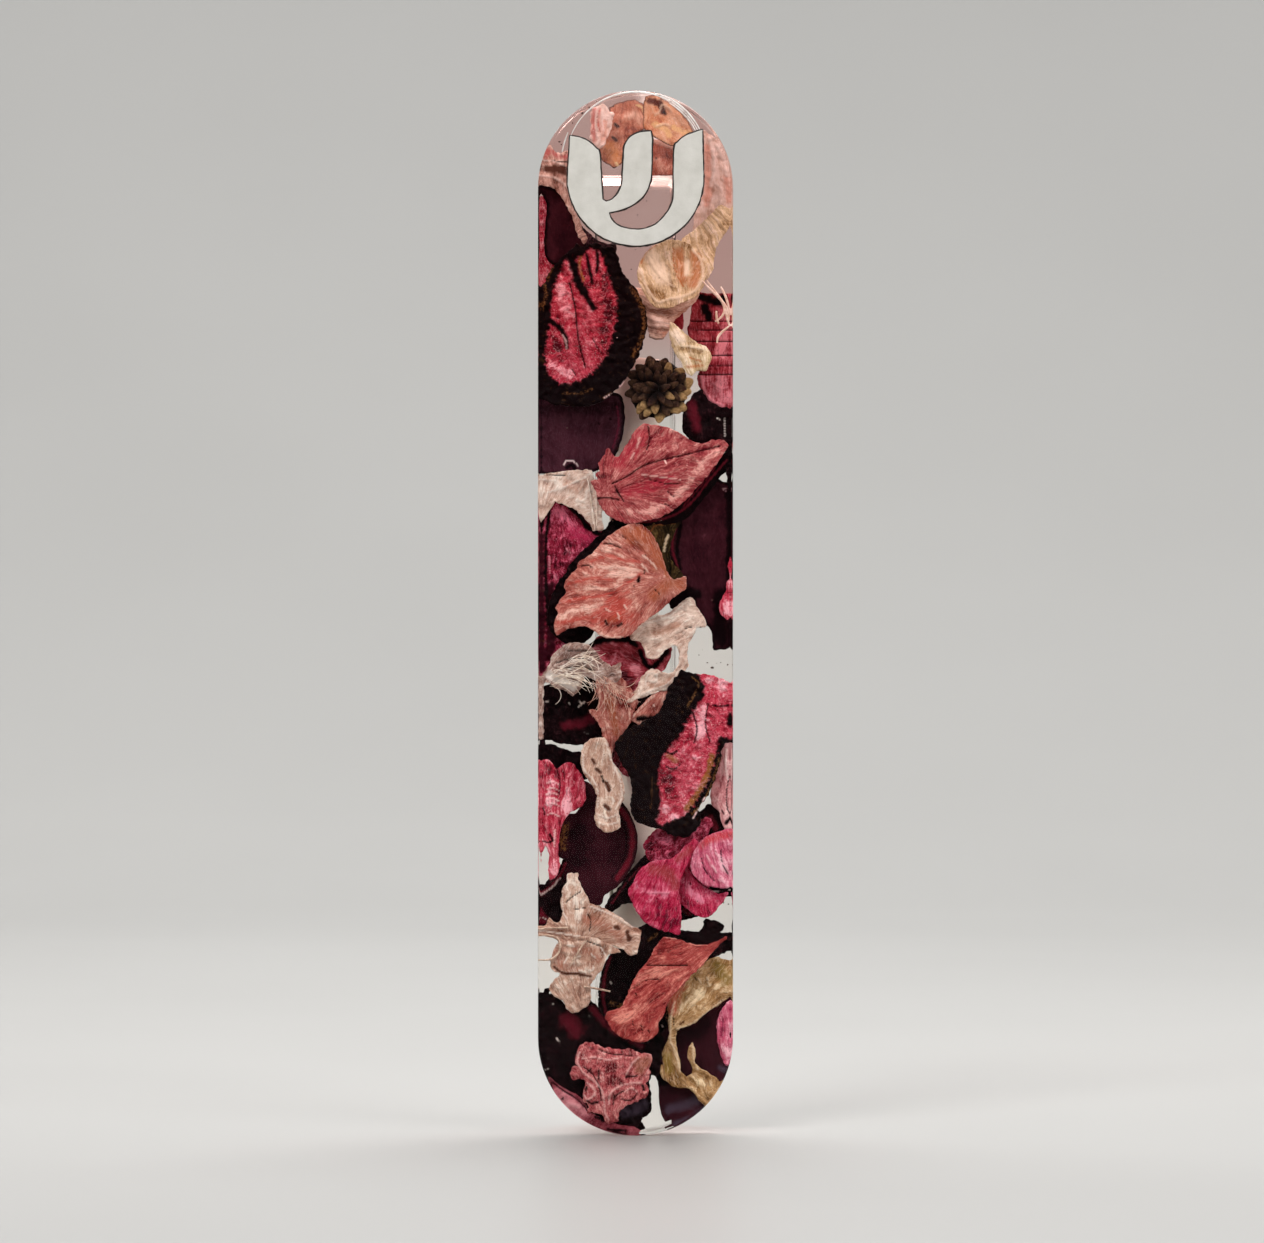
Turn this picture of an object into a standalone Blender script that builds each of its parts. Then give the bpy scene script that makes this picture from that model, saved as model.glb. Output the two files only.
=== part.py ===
"""Mezuzah case of clear cast resin, with dried petals and an alder cone set inside it.

The case hangs upright on a doorpost. It was poured in layers, each holding its own petals, and the
layers are separate solids here: a clear face, three petal layers and a back block with an open
channel for the rolled parchment. X runs across the case, Y from front to back and Z up. The origin
is on the back face, in the middle of the land above the channel, where the case is fixed.
"""

import math

import bmesh
import bpy

# Driving dimensions, in millimetres. Heights are measured from the bottom of the case.
MM = 0.001
CASE_LENGTH = 150.0
CASE_WIDTH = 28.0
END_RADIUS = CASE_WIDTH / 2
LOW_CENTRE = END_RADIUS
HIGH_CENTRE = CASE_LENGTH - END_RADIUS
END_STEPS = 20

# The layers from the front to the back. Every joint between two pieces keeps one gap.
GAP = 0.3
FACE_THICKNESS = 1.0
PETAL_THICKNESS = 1.6
BLOCK_THICKNESS = 10.5
LAYER_PITCH = PETAL_THICKNESS + GAP
REAR_LAYER_BACK = -(BLOCK_THICKNESS + GAP)
MIDDLE_LAYER_BACK = REAR_LAYER_BACK - LAYER_PITCH
FRONT_LAYER_BACK = MIDDLE_LAYER_BACK - LAYER_PITCH
FACE_BACK = FRONT_LAYER_BACK - LAYER_PITCH
FACE_FRONT = FACE_BACK - FACE_THICKNESS
LAYER_BACK = {"front": FRONT_LAYER_BACK, "middle": MIDDLE_LAYER_BACK, "rear": REAR_LAYER_BACK}

# The scroll channel, open at the back, and the rolled parchment that stands in it.
CHANNEL_WIDTH = 10.8
CHANNEL_DEPTH = 9.4
CHANNEL_LOW = 11.8
CHANNEL_HIGH = 138.2
CHANNEL_CORNER = 1.0
SCROLL_DIAMETER = 7.6
SCROLL_LENGTH = 100.0
SCROLL_SIDES = 32

# The fixing point is the middle of the land between the channel and the top of the case.
MOUNT_HEIGHT = (CHANNEL_HIGH + CASE_LENGTH) / 2

# The emblem: a white letter cut from thin sheet, on an oval of clear film.
FILM_THICKNESS = 0.2
LETTER_THICKNESS = 0.6
EMBLEM_GAP = 0.1
FILM_RADIUS = 10.1
FILM_LOW_CENTRE = 137.35
FILM_HIGH_CENTRE = 139.75
LETTER_CENTRE = 137.35
LETTER_RADIUS = 9.75

# The alder cone is thicker than one layer, so it lies across the middle and rear ones.
CONE_CENTRE = (3.3, 107.2)
CONE_RADIUS = 5.2
CONE_HALF_DEPTH = 1.65
CONE_SIDES = 16
CONE_RINGS = 8

# Base colour, roughness and opacity of each material.
FINISHES = {
    "clear_resin": ((0.93, 0.91, 0.88), 0.05, 0.25),
    "clear_film": ((0.95, 0.95, 0.94), 0.15, 0.3),
    "white_sheet": ((0.80, 0.79, 0.75), 0.45, 1.0),
    "parchment": ((0.78, 0.70, 0.55), 0.7, 1.0),
    "black": ((0.012, 0.004, 0.005), 0.4, 1.0),
    "maroon": ((0.055, 0.010, 0.016), 0.4, 1.0),
    "plum": ((0.060, 0.022, 0.034), 0.4, 1.0),
    "pink": ((0.55, 0.07, 0.11), 0.5, 1.0),
    "magenta": ((0.47, 0.03, 0.09), 0.5, 1.0),
    "red": ((0.30, 0.02, 0.03), 0.5, 1.0),
    "coral": ((0.50, 0.09, 0.07), 0.5, 1.0),
    "salmon": ((0.52, 0.17, 0.13), 0.5, 1.0),
    "rose": ((0.42, 0.12, 0.12), 0.5, 1.0),
    "peach": ((0.62, 0.33, 0.25), 0.5, 1.0),
    "orange": ((0.55, 0.20, 0.06), 0.5, 1.0),
    "rust": ((0.26, 0.06, 0.03), 0.5, 1.0),
    "tan": ((0.48, 0.29, 0.13), 0.5, 1.0),
    "olive": ((0.045, 0.030, 0.012), 0.5, 1.0),
    "beige": ((0.55, 0.37, 0.28), 0.5, 1.0),
    "cream": ((0.72, 0.60, 0.42), 0.5, 1.0),
    "bark": ((0.060, 0.036, 0.020), 0.7, 1.0),
}

# Petals: node name, layer, finish, then the outline as (x, height) points that a smooth closed
# curve passes through. A hidden edge runs on under the petal in front of it.
PETALS = [
    # Front layer, from the top of the case to the bottom.
    ("orange_petal", "front", "orange", [
        (1.4, 147.5), (2.6, 148.5), (4.4, 147.9), (6.4, 146.4), (8.0, 144.4),
        (7.2, 143.2), (5.6, 142.3), (2.6, 143.6), (1.3, 145.4)]),
    ("crinkled_petal_strip", "front", "pink", [
        (-5.9, 147.1), (-4.5, 147.6), (-3.3, 146.8), (-3.8, 144.6), (-4.8, 142.6),
        (-6.0, 143.0), (-6.4, 145.0)]),
    ("banded_petal", "front", "beige", [
        (-12.3, 139.9), (-11.8, 141.4), (-10.8, 140.9), (-9.2, 141.2), (-8.6, 138.0),
        (-8.4, 134.2), (-9.2, 133.6), (-10.3, 135.3), (-11.8, 136.4), (-13.0, 136.6),
        (-13.0, 138.3)]),
    ("pink_seed_pod_upper", "front", "pink", [
        (-13.2, 107.4), (-9.2, 105.9), (-5.5, 106.3), (-2.0, 109.3), (0.2, 112.8),
        (1.0, 116.2), (0.4, 119.2), (-1.3, 122.3), (-2.6, 125.0), (-3.2, 127.4),
        (-5.4, 128.0), (-8.0, 127.8), (-9.8, 126.0), (-12.0, 122.4), (-13.2, 118.6)]),
    ("cream_rose_curl", "front", "cream", [
        (0.5, 123.8), (1.6, 126.8), (4.6, 128.4), (7.6, 127.9), (9.6, 126.0),
        (9.9, 123.4), (8.6, 120.8), (5.6, 119.1), (2.7, 119.9)]),
    ("small_cream_petal", "front", "cream", [
        (5.2, 116.9), (5.1, 114.4), (6.1, 112.4), (6.9, 110.6), (8.1, 109.6),
        (10.2, 110.5), (10.7, 112.0), (9.8, 113.1), (8.2, 114.2), (7.0, 115.6)]),
    ("cream_fibres", "front", "cream", [
        (11.0, 121.9), (12.4, 121.6), (13.2, 120.2), (13.2, 116.2), (12.2, 115.4),
        (11.6, 117.2), (12.2, 118.8)]),
    ("pink_leaf_petal", "front", "rose", [
        (0.4, 101.2), (3.0, 102.0), (7.3, 100.6), (12.9, 99.5), (11.6, 96.8),
        (9.2, 93.4), (4.8, 89.9), (-1.0, 88.4), (-4.6, 90.0), (-6.1, 94.1),
        (-4.7, 95.4), (-3.9, 98.2), (-2.3, 97.6)]),
    ("salmon_petal", "front", "salmon", [
        (-4.8, 84.8), (-1.5, 87.0), (1.2, 86.9), (3.2, 84.4), (4.1, 81.4),
        (5.2, 79.9), (7.0, 80.0), (6.6, 78.1), (3.2, 75.6), (-0.6, 72.5),
        (-3.2, 71.7), (-7.6, 73.2), (-11.1, 72.8), (-9.9, 79.0), (-7.7, 82.0)]),
    ("pink_edge_petal", "front", "pink", [
        (13.2, 80.6), (12.6, 79.4), (12.0, 76.6), (12.2, 75.0), (13.2, 74.0)]),
    ("feathery_tuft", "front", "cream", [
        (-11.0, 69.6), (-8.5, 70.2), (-6.4, 69.9), (-5.2, 68.4), (-2.6, 67.5),
        (-2.3, 65.9), (-4.8, 65.1), (-6.5, 65.8), (-8.5, 63.4), (-10.4, 64.1),
        (-13.1, 65.5), (-12.0, 67.6)]),
    ("pink_seed_pod_lower", "front", "pink", [
        (6.5, 66.2), (9.0, 65.8), (13.2, 64.4), (13.2, 57.2), (11.4, 52.0),
        (9.9, 48.6), (7.0, 45.4), (3.2, 44.5), (0.8, 44.8), (-0.1, 49.0),
        (-0.9, 52.0), (-2.6, 55.2), (-1.4, 57.9), (3.4, 60.8), (5.0, 64.2)]),
    ("beige_curled_strip", "front", "beige", [
        (-6.4, 56.8), (-4.9, 57.0), (-3.9, 55.2), (-2.9, 52.8), (-1.8, 49.6),
        (-2.2, 46.6), (-2.4, 44.6), (-3.8, 43.9), (-5.0, 44.6), (-5.6, 46.6),
        (-5.3, 49.0), (-6.2, 51.0), (-7.3, 52.6), (-7.4, 55.0)]),
    ("beige_star_flower", "front", "beige", [
        (-9.4, 37.2), (-8.3, 37.4), (-6.6, 33.4), (-4.8, 32.5), (-1.0, 30.3),
        (0.7, 29.2), (0.5, 27.0), (-0.4, 26.0), (-2.6, 27.1), (-6.0, 28.3),
        (-9.0, 28.1), (-11.0, 28.6), (-13.2, 29.0), (-13.0, 30.0), (-10.8, 30.2),
        (-10.5, 34.2)]),
    ("magenta_petal_large", "front", "magenta", [
        (-0.5, 35.2), (0.5, 37.8), (2.5, 39.1), (5.0, 39.5), (6.6, 39.2),
        (6.3, 36.0), (6.5, 32.0), (6.2, 29.7), (3.5, 29.8), (1.6, 31.0),
        (0.2, 32.9)]),
    ("pink_petal_right", "front", "pink", [
        (8.7, 40.8), (11.0, 42.6), (13.2, 43.3), (13.2, 36.3), (12.0, 35.8),
        (10.0, 36.3), (8.2, 38.2)]),
    ("coral_petal", "front", "coral", [
        (4.7, 28.2), (7.0, 27.5), (10.0, 27.3), (12.6, 27.9), (10.4, 26.0),
        (8.0, 23.4), (4.5, 19.8), (3.6, 16.8), (2.8, 14.8), (0.6, 13.8),
        (-2.2, 14.6), (-4.1, 17.0), (-2.2, 18.3), (-0.4, 22.5), (2.2, 25.0)]),
    ("beige_crumpled_petal", "front", "beige", [
        (-11.4, 26.5), (-8.8, 26.4), (-5.9, 26.8), (-4.4, 25.6), (-5.4, 23.5),
        (-6.5, 20.0), (-7.2, 18.4), (-8.8, 18.0), (-10.3, 19.8), (-12.2, 20.9),
        (-10.9, 23.0), (-12.1, 24.6)]),
    ("pink_strip_lower_right", "front", "pink", [
        (13.2, 19.4), (13.1, 15.5), (13.0, 12.4), (12.5, 10.9), (11.8, 12.2),
        (11.6, 15.0), (12.0, 18.2)]),
    ("dusty_rose_petal", "front", "rose", [
        (-7.2, 13.1), (-4.0, 12.4), (0.0, 11.9), (2.3, 11.4), (2.2, 9.6),
        (1.6, 6.4), (-0.4, 4.9), (-2.2, 3.4), (-3.4, 3.2), (-4.6, 4.6),
        (-6.6, 5.6), (-7.4, 7.4), (-8.4, 9.6), (-8.4, 11.6)]),
    # Middle layer.
    ("brown_orange_petal", "middle", "orange", [
        (-3.6, 147.7), (-1.5, 148.3), (0.3, 148.4), (1.3, 147.1), (1.4, 145.0),
        (0.2, 144.0), (-1.2, 143.0), (-2.0, 140.0), (-3.4, 139.5), (-4.9, 140.6),
        (-4.8, 143.2), (-3.9, 145.4)]),
    ("black_petal_upper_left", "middle", "black", [
        (-13.1, 135.9), (-12.0, 136.0), (-10.3, 134.7), (-8.7, 132.0), (-7.7, 129.6),
        (-7.2, 127.6), (-8.8, 126.3), (-11.6, 125.4), (-12.6, 127.4), (-12.6, 131.0)]),
    ("cream_fan_petal", "middle", "cream", [
        (13.1, 132.6), (12.2, 133.4), (10.0, 130.9), (7.4, 129.6), (6.4, 127.4),
        (7.2, 125.2), (9.4, 123.2), (10.6, 125.4), (11.2, 127.8), (12.2, 130.2),
        (13.2, 131.2)]),
    ("wrinkled_cream_cone", "middle", "cream", [
        (0.9, 120.8), (5.0, 121.4), (9.0, 120.9), (7.4, 118.8), (5.4, 117.0),
        (4.8, 115.2), (3.5, 114.9), (2.2, 115.1), (1.7, 117.4)]),
    ("black_petal_right", "middle", "black", [
        (9.3, 104.9), (10.2, 105.7), (11.8, 104.7), (13.2, 104.2), (13.2, 99.4),
        (10.5, 98.6), (8.0, 99.2), (7.5, 101.2), (8.1, 103.0)]),
    ("dark_crescent_petal", "middle", "black", [
        (12.8, 97.4), (10.2, 95.4), (7.5, 93.0), (4.6, 91.2), (0.5, 90.0),
        (-2.7, 89.4), (-2.9, 88.1), (0.0, 87.5), (4.2, 87.8), (7.4, 89.6),
        (10.2, 92.6), (12.2, 95.2)]),
    ("beige_petal_left", "middle", "beige", [
        (-13.2, 94.2), (-10.0, 94.6), (-6.4, 94.8), (-5.6, 92.6), (-4.6, 89.6),
        (-4.3, 87.6), (-5.6, 87.2), (-7.2, 89.0), (-9.2, 90.4), (-11.6, 90.8),
        (-13.2, 88.8)]),
    ("olive_bract", "middle", "olive", [
        (2.6, 86.0), (4.6, 86.3), (4.8, 83.6), (5.6, 81.4), (6.7, 80.4),
        (6.2, 79.2), (4.6, 78.6), (2.4, 81.0), (1.6, 84.0)]),
    ("wood_shaving", "middle", "beige", [
        (-0.6, 72.2), (4.5, 74.5), (8.0, 76.7), (9.9, 74.0), (8.3, 71.8),
        (7.2, 70.0), (7.3, 67.6), (6.2, 65.8), (4.6, 64.2), (2.4, 63.0),
        (0.4, 63.2), (2.4, 66.2), (5.2, 66.6), (6.1, 69.6), (4.2, 69.8),
        (2.2, 68.6), (0.8, 70.0)]),
    ("brown_pink_drape", "middle", "salmon", [
        (-5.0, 64.8), (-2.6, 65.4), (-0.9, 62.9), (0.7, 60.8), (-0.8, 59.2),
        (-1.8, 57.7), (-3.5, 56.2), (-4.4, 58.0), (-5.8, 60.6), (-4.6, 61.9)]),
    ("pink_petal_left", "middle", "pink", [
        (-13.2, 55.8), (-11.0, 55.4), (-7.8, 54.4), (-7.1, 50.6), (-7.4, 47.6),
        (-9.2, 46.0), (-10.4, 44.2), (-11.0, 40.6), (-10.8, 37.8), (-12.0, 36.6),
        (-13.2, 36.0)]),
    ("pale_pink_petal", "middle", "peach", [
        (12.2, 57.0), (13.2, 57.2), (13.2, 46.4), (12.3, 46.4), (11.2, 48.2),
        (11.3, 51.0)]),
    ("magenta_petal_small", "middle", "magenta", [
        (1.4, 41.9), (2.4, 43.2), (4.2, 43.9), (6.2, 43.3), (8.0, 43.4),
        (9.8, 45.4), (11.2, 44.4), (9.2, 42.7), (6.4, 41.4), (4.0, 40.5),
        (2.1, 40.3)]),
    ("magenta_petal_middle", "middle", "magenta", [
        (5.8, 39.4), (8.6, 41.0), (10.0, 38.0), (12.4, 35.8), (12.9, 34.4),
        (11.4, 32.2), (10.0, 31.4), (8.0, 32.0), (6.2, 34.5)]),
    ("tan_hooked_petal", "middle", "tan", [
        (8.6, 23.4), (11.9, 25.0), (13.2, 24.2), (13.2, 20.0), (11.5, 18.1),
        (8.0, 16.1), (5.7, 14.9), (5.4, 12.8), (6.5, 10.4), (6.8, 8.8),
        (8.4, 8.6), (9.4, 9.2), (11.1, 7.9), (10.0, 6.3), (8.4, 6.7),
        (6.4, 6.9), (4.6, 8.1), (3.8, 9.8), (4.2, 12.2), (4.9, 16.0),
        (5.2, 20.2), (6.8, 22.2)]),
    ("black_petal_bottom", "middle", "black", [
        (-13.1, 20.0), (-12.0, 20.5), (-8.5, 19.2), (-6.2, 19.0), (-4.6, 17.0),
        (-2.4, 14.8), (0.4, 13.9), (2.6, 13.4), (2.8, 11.2), (2.0, 8.6),
        (1.4, 5.6), (0.8, 2.2), (-2.6, 1.8), (-5.6, 2.8), (-8.4, 4.5),
        (-11.2, 7.9), (-13.0, 12.6)]),
    # Rear layer.
    ("rust_petal", "rear", "rust", [
        (1.4, 142.6), (4.0, 142.8), (6.4, 142.0), (6.6, 140.2), (5.9, 138.6),
        (3.2, 138.4), (1.2, 138.7), (0.8, 140.6)]),
    ("peach_petal", "rear", "peach", [
        (10.2, 143.4), (11.4, 142.2), (12.4, 140.0), (13.0, 137.4), (13.2, 133.0),
        (12.4, 130.6), (10.4, 129.8), (8.8, 130.6), (9.2, 134.0), (9.7, 139.0)]),
    ("pink_sliver_petal", "rear", "pink", [
        (-13.2, 134.4), (-11.6, 133.6), (-10.8, 129.0), (-11.0, 124.6), (-12.4, 120.6),
        (-13.2, 119.6)]),
    ("ribbed_red_petal", "rear", "red", [
        (8.6, 120.4), (11.0, 120.9), (13.2, 120.4), (13.2, 105.8), (12.4, 104.9),
        (11.2, 105.3), (10.1, 106.8), (9.5, 109.2), (8.7, 112.2), (8.2, 115.6)]),
    ("maroon_cup_upper", "rear", "maroon", [
        (-13.2, 105.2), (-8.0, 105.6), (-3.2, 105.9), (-2.5, 104.6), (-2.2, 102.0),
        (-2.8, 99.2), (-3.8, 97.4), (-5.4, 96.2), (-7.6, 95.6), (-10.5, 95.2),
        (-12.6, 95.8), (-13.2, 97.6)]),
    ("magenta_petal_left", "rear", "magenta", [
        (-10.8, 91.1), (-9.0, 90.9), (-7.4, 88.8), (-5.0, 86.7), (-3.7, 86.2),
        (-4.6, 84.0), (-7.0, 81.0), (-9.0, 77.0), (-10.0, 73.0), (-10.7, 70.0),
        (-12.2, 67.0), (-13.2, 66.0), (-13.2, 86.0), (-12.4, 89.0)]),
    ("maroon_petal_right", "rear", "maroon", [
        (8.5, 92.5), (11.0, 93.4), (13.2, 92.6), (13.2, 80.0), (12.0, 76.0),
        (12.9, 72.6), (12.8, 70.7), (11.4, 70.6), (11.0, 72.5), (9.0, 75.5),
        (7.4, 79.4), (5.8, 81.2), (5.2, 84.0), (5.6, 88.0), (6.8, 91.0)]),
    ("red_petal_centre", "rear", "red", [
        (-5.8, 70.6), (-4.4, 71.7), (-1.0, 71.6), (1.5, 70.2), (4.6, 69.8),
        (4.1, 67.6), (1.4, 65.4), (-0.4, 63.6), (-2.4, 64.8), (-3.4, 66.6),
        (-5.4, 68.4)]),
    ("black_petal_left", "rear", "black", [
        (-13.2, 63.8), (-10.5, 64.4), (-8.0, 65.2), (-5.4, 65.1), (-4.2, 62.5),
        (-4.0, 59.5), (-4.5, 57.3), (-6.5, 56.7), (-9.6, 56.6), (-13.2, 57.3),
        (-13.2, 60.6)]),
    ("maroon_cup_lower", "rear", "maroon", [
        (-10.6, 44.6), (-8.6, 45.8), (-7.2, 47.6), (-5.2, 48.3), (-2.7, 47.4),
        (-1.2, 45.0), (-0.4, 42.2), (-0.6, 39.6), (-1.4, 37.8), (-3.6, 35.3),
        (-5.5, 33.4), (-7.3, 34.0), (-8.6, 36.2), (-10.3, 38.6), (-10.9, 41.6)]),
    ("maroon_petal_lower_left", "rear", "maroon", [
        (-13.2, 34.6), (-12.0, 35.6), (-10.6, 36.4), (-9.8, 34.8), (-9.6, 32.2),
        (-9.9, 30.0), (-11.5, 29.3), (-13.1, 29.7)]),
    ("black_petal_centre", "rear", "black", [
        (2.2, 40.1), (0.8, 38.8), (-0.2, 37.0), (-2.0, 34.9), (-3.5, 32.7),
        (-2.4, 32.5), (-0.8, 33.4), (0.8, 32.6), (3.2, 30.6), (6.6, 30.9),
        (8.4, 32.6), (7.0, 36.0), (5.0, 39.8)]),
    ("maroon_petal_under_coral", "rear", "maroon", [
        (0.9, 28.9), (4.6, 29.5), (8.0, 28.7), (10.6, 29.6), (13.2, 28.3),
        (13.2, 26.7), (11.2, 25.4), (9.0, 22.4), (5.2, 18.8), (4.2, 15.6),
        (2.2, 13.4), (-1.2, 13.4), (-4.1, 15.2), (-4.9, 18.8), (-4.6, 21.8),
        (-3.8, 24.4), (-2.6, 26.0), (-0.6, 26.2)]),
    ("plum_petal", "rear", "plum", [
        (5.9, 15.0), (9.0, 16.8), (11.4, 17.8), (11.7, 14.0), (12.3, 10.8),
        (11.5, 8.3), (10.2, 6.4), (8.0, 4.4), (5.8, 2.8), (3.8, 2.4),
        (3.3, 5.0), (3.6, 7.8), (4.6, 10.0), (5.0, 12.4)]),
]

# The dusty rose petal that lies along the rounded lower left edge is a band of two arcs.
RIM_PETAL = "rose_rim_petal"
RIM_OUTER = 13.2
RIM_INNER = 12.4
RIM_START = math.radians(203)
RIM_END = math.radians(247)
RIM_STEPS = 7


def clear_scene():
    for obj in list(bpy.data.objects):
        bpy.data.objects.remove(obj, do_unlink=True)


def collection(name):
    group = bpy.data.collections.new(name)
    bpy.context.scene.collection.children.link(group)
    return group


def material(name):
    colour, roughness, opacity = FINISHES[name]
    made = bpy.data.materials.get(name)
    if made is None:
        made = bpy.data.materials.new(name)
        made.use_nodes = True
        shader = made.node_tree.nodes["Principled BSDF"]
        shader.inputs["Base Color"].default_value = (*colour, 1.0)
        shader.inputs["Roughness"].default_value = roughness
        shader.inputs["Alpha"].default_value = opacity
    return made


def arc(centre, radius, start, end, steps):
    """Points on a circle, as (x, height), with both ends."""
    points = []
    for step in range(steps + 1):
        angle = start + (end - start) * step / steps
        points.append((centre[0] + radius * math.cos(angle), centre[1] + radius * math.sin(angle)))
    return points


def stadium(radius, low_centre, high_centre):
    """A slot shape, anticlockwise from its right side."""
    top = arc((0, high_centre), radius, 0, math.pi, END_STEPS)
    bottom = arc((0, low_centre), radius, math.pi, 2 * math.pi, END_STEPS)
    return top + bottom


def smooth(points, steps):
    """A closed Catmull-Rom curve through the points, with this many steps between two of them."""
    count = len(points)
    result = []
    for index in range(count):
        before = points[index - 1]
        start = points[index]
        end = points[(index + 1) % count]
        after = points[(index + 2) % count]
        for step in range(steps):
            t = step / steps
            result.append(tuple(
                0.5 * (2 * b + (c - a) * t + (2 * a - 5 * b + 4 * c - d) * t * t
                       + (3 * b - a - 3 * c + d) * t * t * t)
                for a, b, c, d in zip(before, start, end, after)))
    return result


def petal_outline(points):
    """Short lists of points get one more point between each pair."""
    return smooth(points, 2 if len(points) <= 10 else 1)


def area(points):
    total = 0.0
    for (x0, z0), (x1, z1) in zip(points, points[1:] + points[:1]):
        total += x0 * z1 - x1 * z0
    return total / 2


def edge_normal(start, end, side):
    """The unit normal of an edge, pointing out of the outline."""
    along_x, along_z = end[0] - start[0], end[1] - start[1]
    length = math.hypot(along_x, along_z)
    return side * along_z / length, -side * along_x / length


def grown(points, distance):
    """The outline moved outwards by a distance. A sharp corner moves at most twice as far."""
    side = 1.0 if area(points) > 0 else -1.0
    count = len(points)
    result = []
    for index, (x, z) in enumerate(points):
        first = edge_normal(points[index - 1], (x, z), side)
        second = edge_normal((x, z), points[(index + 1) % count], side)
        mean_x, mean_z = first[0] + second[0], first[1] + second[1]
        length = math.hypot(mean_x, mean_z)
        mean_x, mean_z = mean_x / length, mean_z / length
        reach = distance / max(0.5, mean_x * first[0] + mean_z * first[1])
        result.append((x + reach * mean_x, z + reach * mean_z))
    return result


def plate(name, outlines, back, thickness, finish, group):
    """A flat piece from a closed outline; any further outlines inside it are its windows."""
    curve = bpy.data.curves.new(name, "CURVE")
    curve.dimensions = "2D"
    curve.fill_mode = "BOTH"
    curve.extrude = thickness / 2 * MM
    for outline in outlines:
        spline = curve.splines.new("POLY")
        spline.points.add(len(outline) - 1)
        for point, (x, z) in zip(spline.points, outline):
            point.co = (x * MM, z * MM, 0.0, 1.0)
        spline.use_cyclic_u = True
    curve.materials.append(material(finish))
    obj = bpy.data.objects.new(name, curve)
    obj.rotation_euler = (math.pi / 2, 0.0, 0.0)
    obj.location = (0.0, (back - thickness / 2) * MM, -MOUNT_HEIGHT * MM)
    group.objects.link(obj)
    return obj


def to_mesh(curve_object, group):
    """The same piece as a welded mesh object, ready for a Boolean."""
    bpy.context.view_layer.update()
    evaluated = curve_object.evaluated_get(bpy.context.evaluated_depsgraph_get())
    mesh = bpy.data.meshes.new_from_object(evaluated)
    name = curve_object.name
    place = curve_object.matrix_world.copy()
    bpy.data.objects.remove(curve_object, do_unlink=True)
    welder = bmesh.new()
    welder.from_mesh(mesh)
    bmesh.ops.remove_doubles(welder, verts=welder.verts, dist=1e-6)
    welder.to_mesh(mesh)
    welder.free()
    obj = bpy.data.objects.new(name, mesh)
    obj.matrix_world = place
    group.objects.link(obj)
    return obj


def petal_outlines():
    """Every flat petal by name: its layer, its finish and its outline."""
    petals = {}
    for name, layer, finish, points in PETALS:
        petals[name] = (layer, finish, petal_outline(points))
    centre = (0.0, LOW_CENTRE)
    outer = arc(centre, RIM_OUTER, RIM_START, RIM_END, RIM_STEPS)
    inner = arc(centre, RIM_INNER, RIM_END, RIM_START, RIM_STEPS)
    petals[RIM_PETAL] = ("front", "rose", outer + inner)
    return petals


def make_petals(petals, group):
    for name, (layer, finish, outline) in petals.items():
        plate(name, [outline], LAYER_BACK[layer], PETAL_THICKNESS, finish, group)


def make_alder_cone(group):
    """A flattened ball, centred on the gap between the middle and the rear layer."""
    bpy.ops.mesh.primitive_uv_sphere_add(segments=CONE_SIDES, ring_count=CONE_RINGS, radius=MM)
    cone = bpy.context.active_object
    cone.name = "alder_cone"
    cone.data.name = "alder_cone"
    cone.rotation_euler = (math.pi / 2, 0.0, 0.0)
    cone.scale = (CONE_RADIUS, CONE_RADIUS, CONE_HALF_DEPTH)
    depth = REAR_LAYER_BACK - PETAL_THICKNESS - GAP / 2
    height = CONE_CENTRE[1] - MOUNT_HEIGHT
    cone.location = (CONE_CENTRE[0] * MM, depth * MM, height * MM)
    cone.data.materials.append(material("bark"))
    cone.data.shade_smooth()
    for owner in list(cone.users_collection):
        owner.objects.unlink(cone)
    group.objects.link(cone)


def make_petal_layers(petals, group):
    """Each clear layer has a window for every petal that lies in it."""
    case = stadium(END_RADIUS, LOW_CENTRE, HIGH_CENTRE)
    cone_window = arc(CONE_CENTRE, CONE_RADIUS + GAP, 0, 2 * math.pi, CONE_SIDES)[:-1]
    for layer, back in LAYER_BACK.items():
        windows = [grown(outline, GAP) for where, _, outline in petals.values() if where == layer]
        if layer != "front":
            windows.append(cone_window)
        name = f"resin_{layer}_petal_layer"
        plate(name, [case] + windows, back, PETAL_THICKNESS, "clear_resin", group)


def make_face_layer(group):
    case = stadium(END_RADIUS, LOW_CENTRE, HIGH_CENTRE)
    plate("resin_face_layer", [case], FACE_BACK, FACE_THICKNESS, "clear_resin", group)


def make_back_block(group, cutters):
    """The thick rear pour, with the scroll channel cut from its back."""
    case = stadium(END_RADIUS, LOW_CENTRE, HIGH_CENTRE)
    block = to_mesh(plate("resin_back_block", [case], 0.0, BLOCK_THICKNESS, "clear_resin", group), group)
    half = CHANNEL_WIDTH / 2 - CHANNEL_CORNER
    corners = [
        ((half, CHANNEL_HIGH - CHANNEL_CORNER), 0.0),
        ((-half, CHANNEL_HIGH - CHANNEL_CORNER), math.pi / 2),
        ((-half, CHANNEL_LOW + CHANNEL_CORNER), math.pi),
        ((half, CHANNEL_LOW + CHANNEL_CORNER), 3 * math.pi / 2),
    ]
    outline = []
    for centre, start in corners:
        outline += arc(centre, CHANNEL_CORNER, start, start + math.pi / 2, 3)
    mouth = 1.0
    depth = CHANNEL_DEPTH + mouth
    cutter = to_mesh(plate("scroll_channel", [outline], mouth, depth, "clear_resin", cutters), cutters)
    cutter.hide_render = True
    cutter.display_type = "WIRE"
    cut = block.modifiers.new("scroll_channel", "BOOLEAN")
    cut.operation = "DIFFERENCE"
    cut.solver = "EXACT"
    cut.object = cutter


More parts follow.
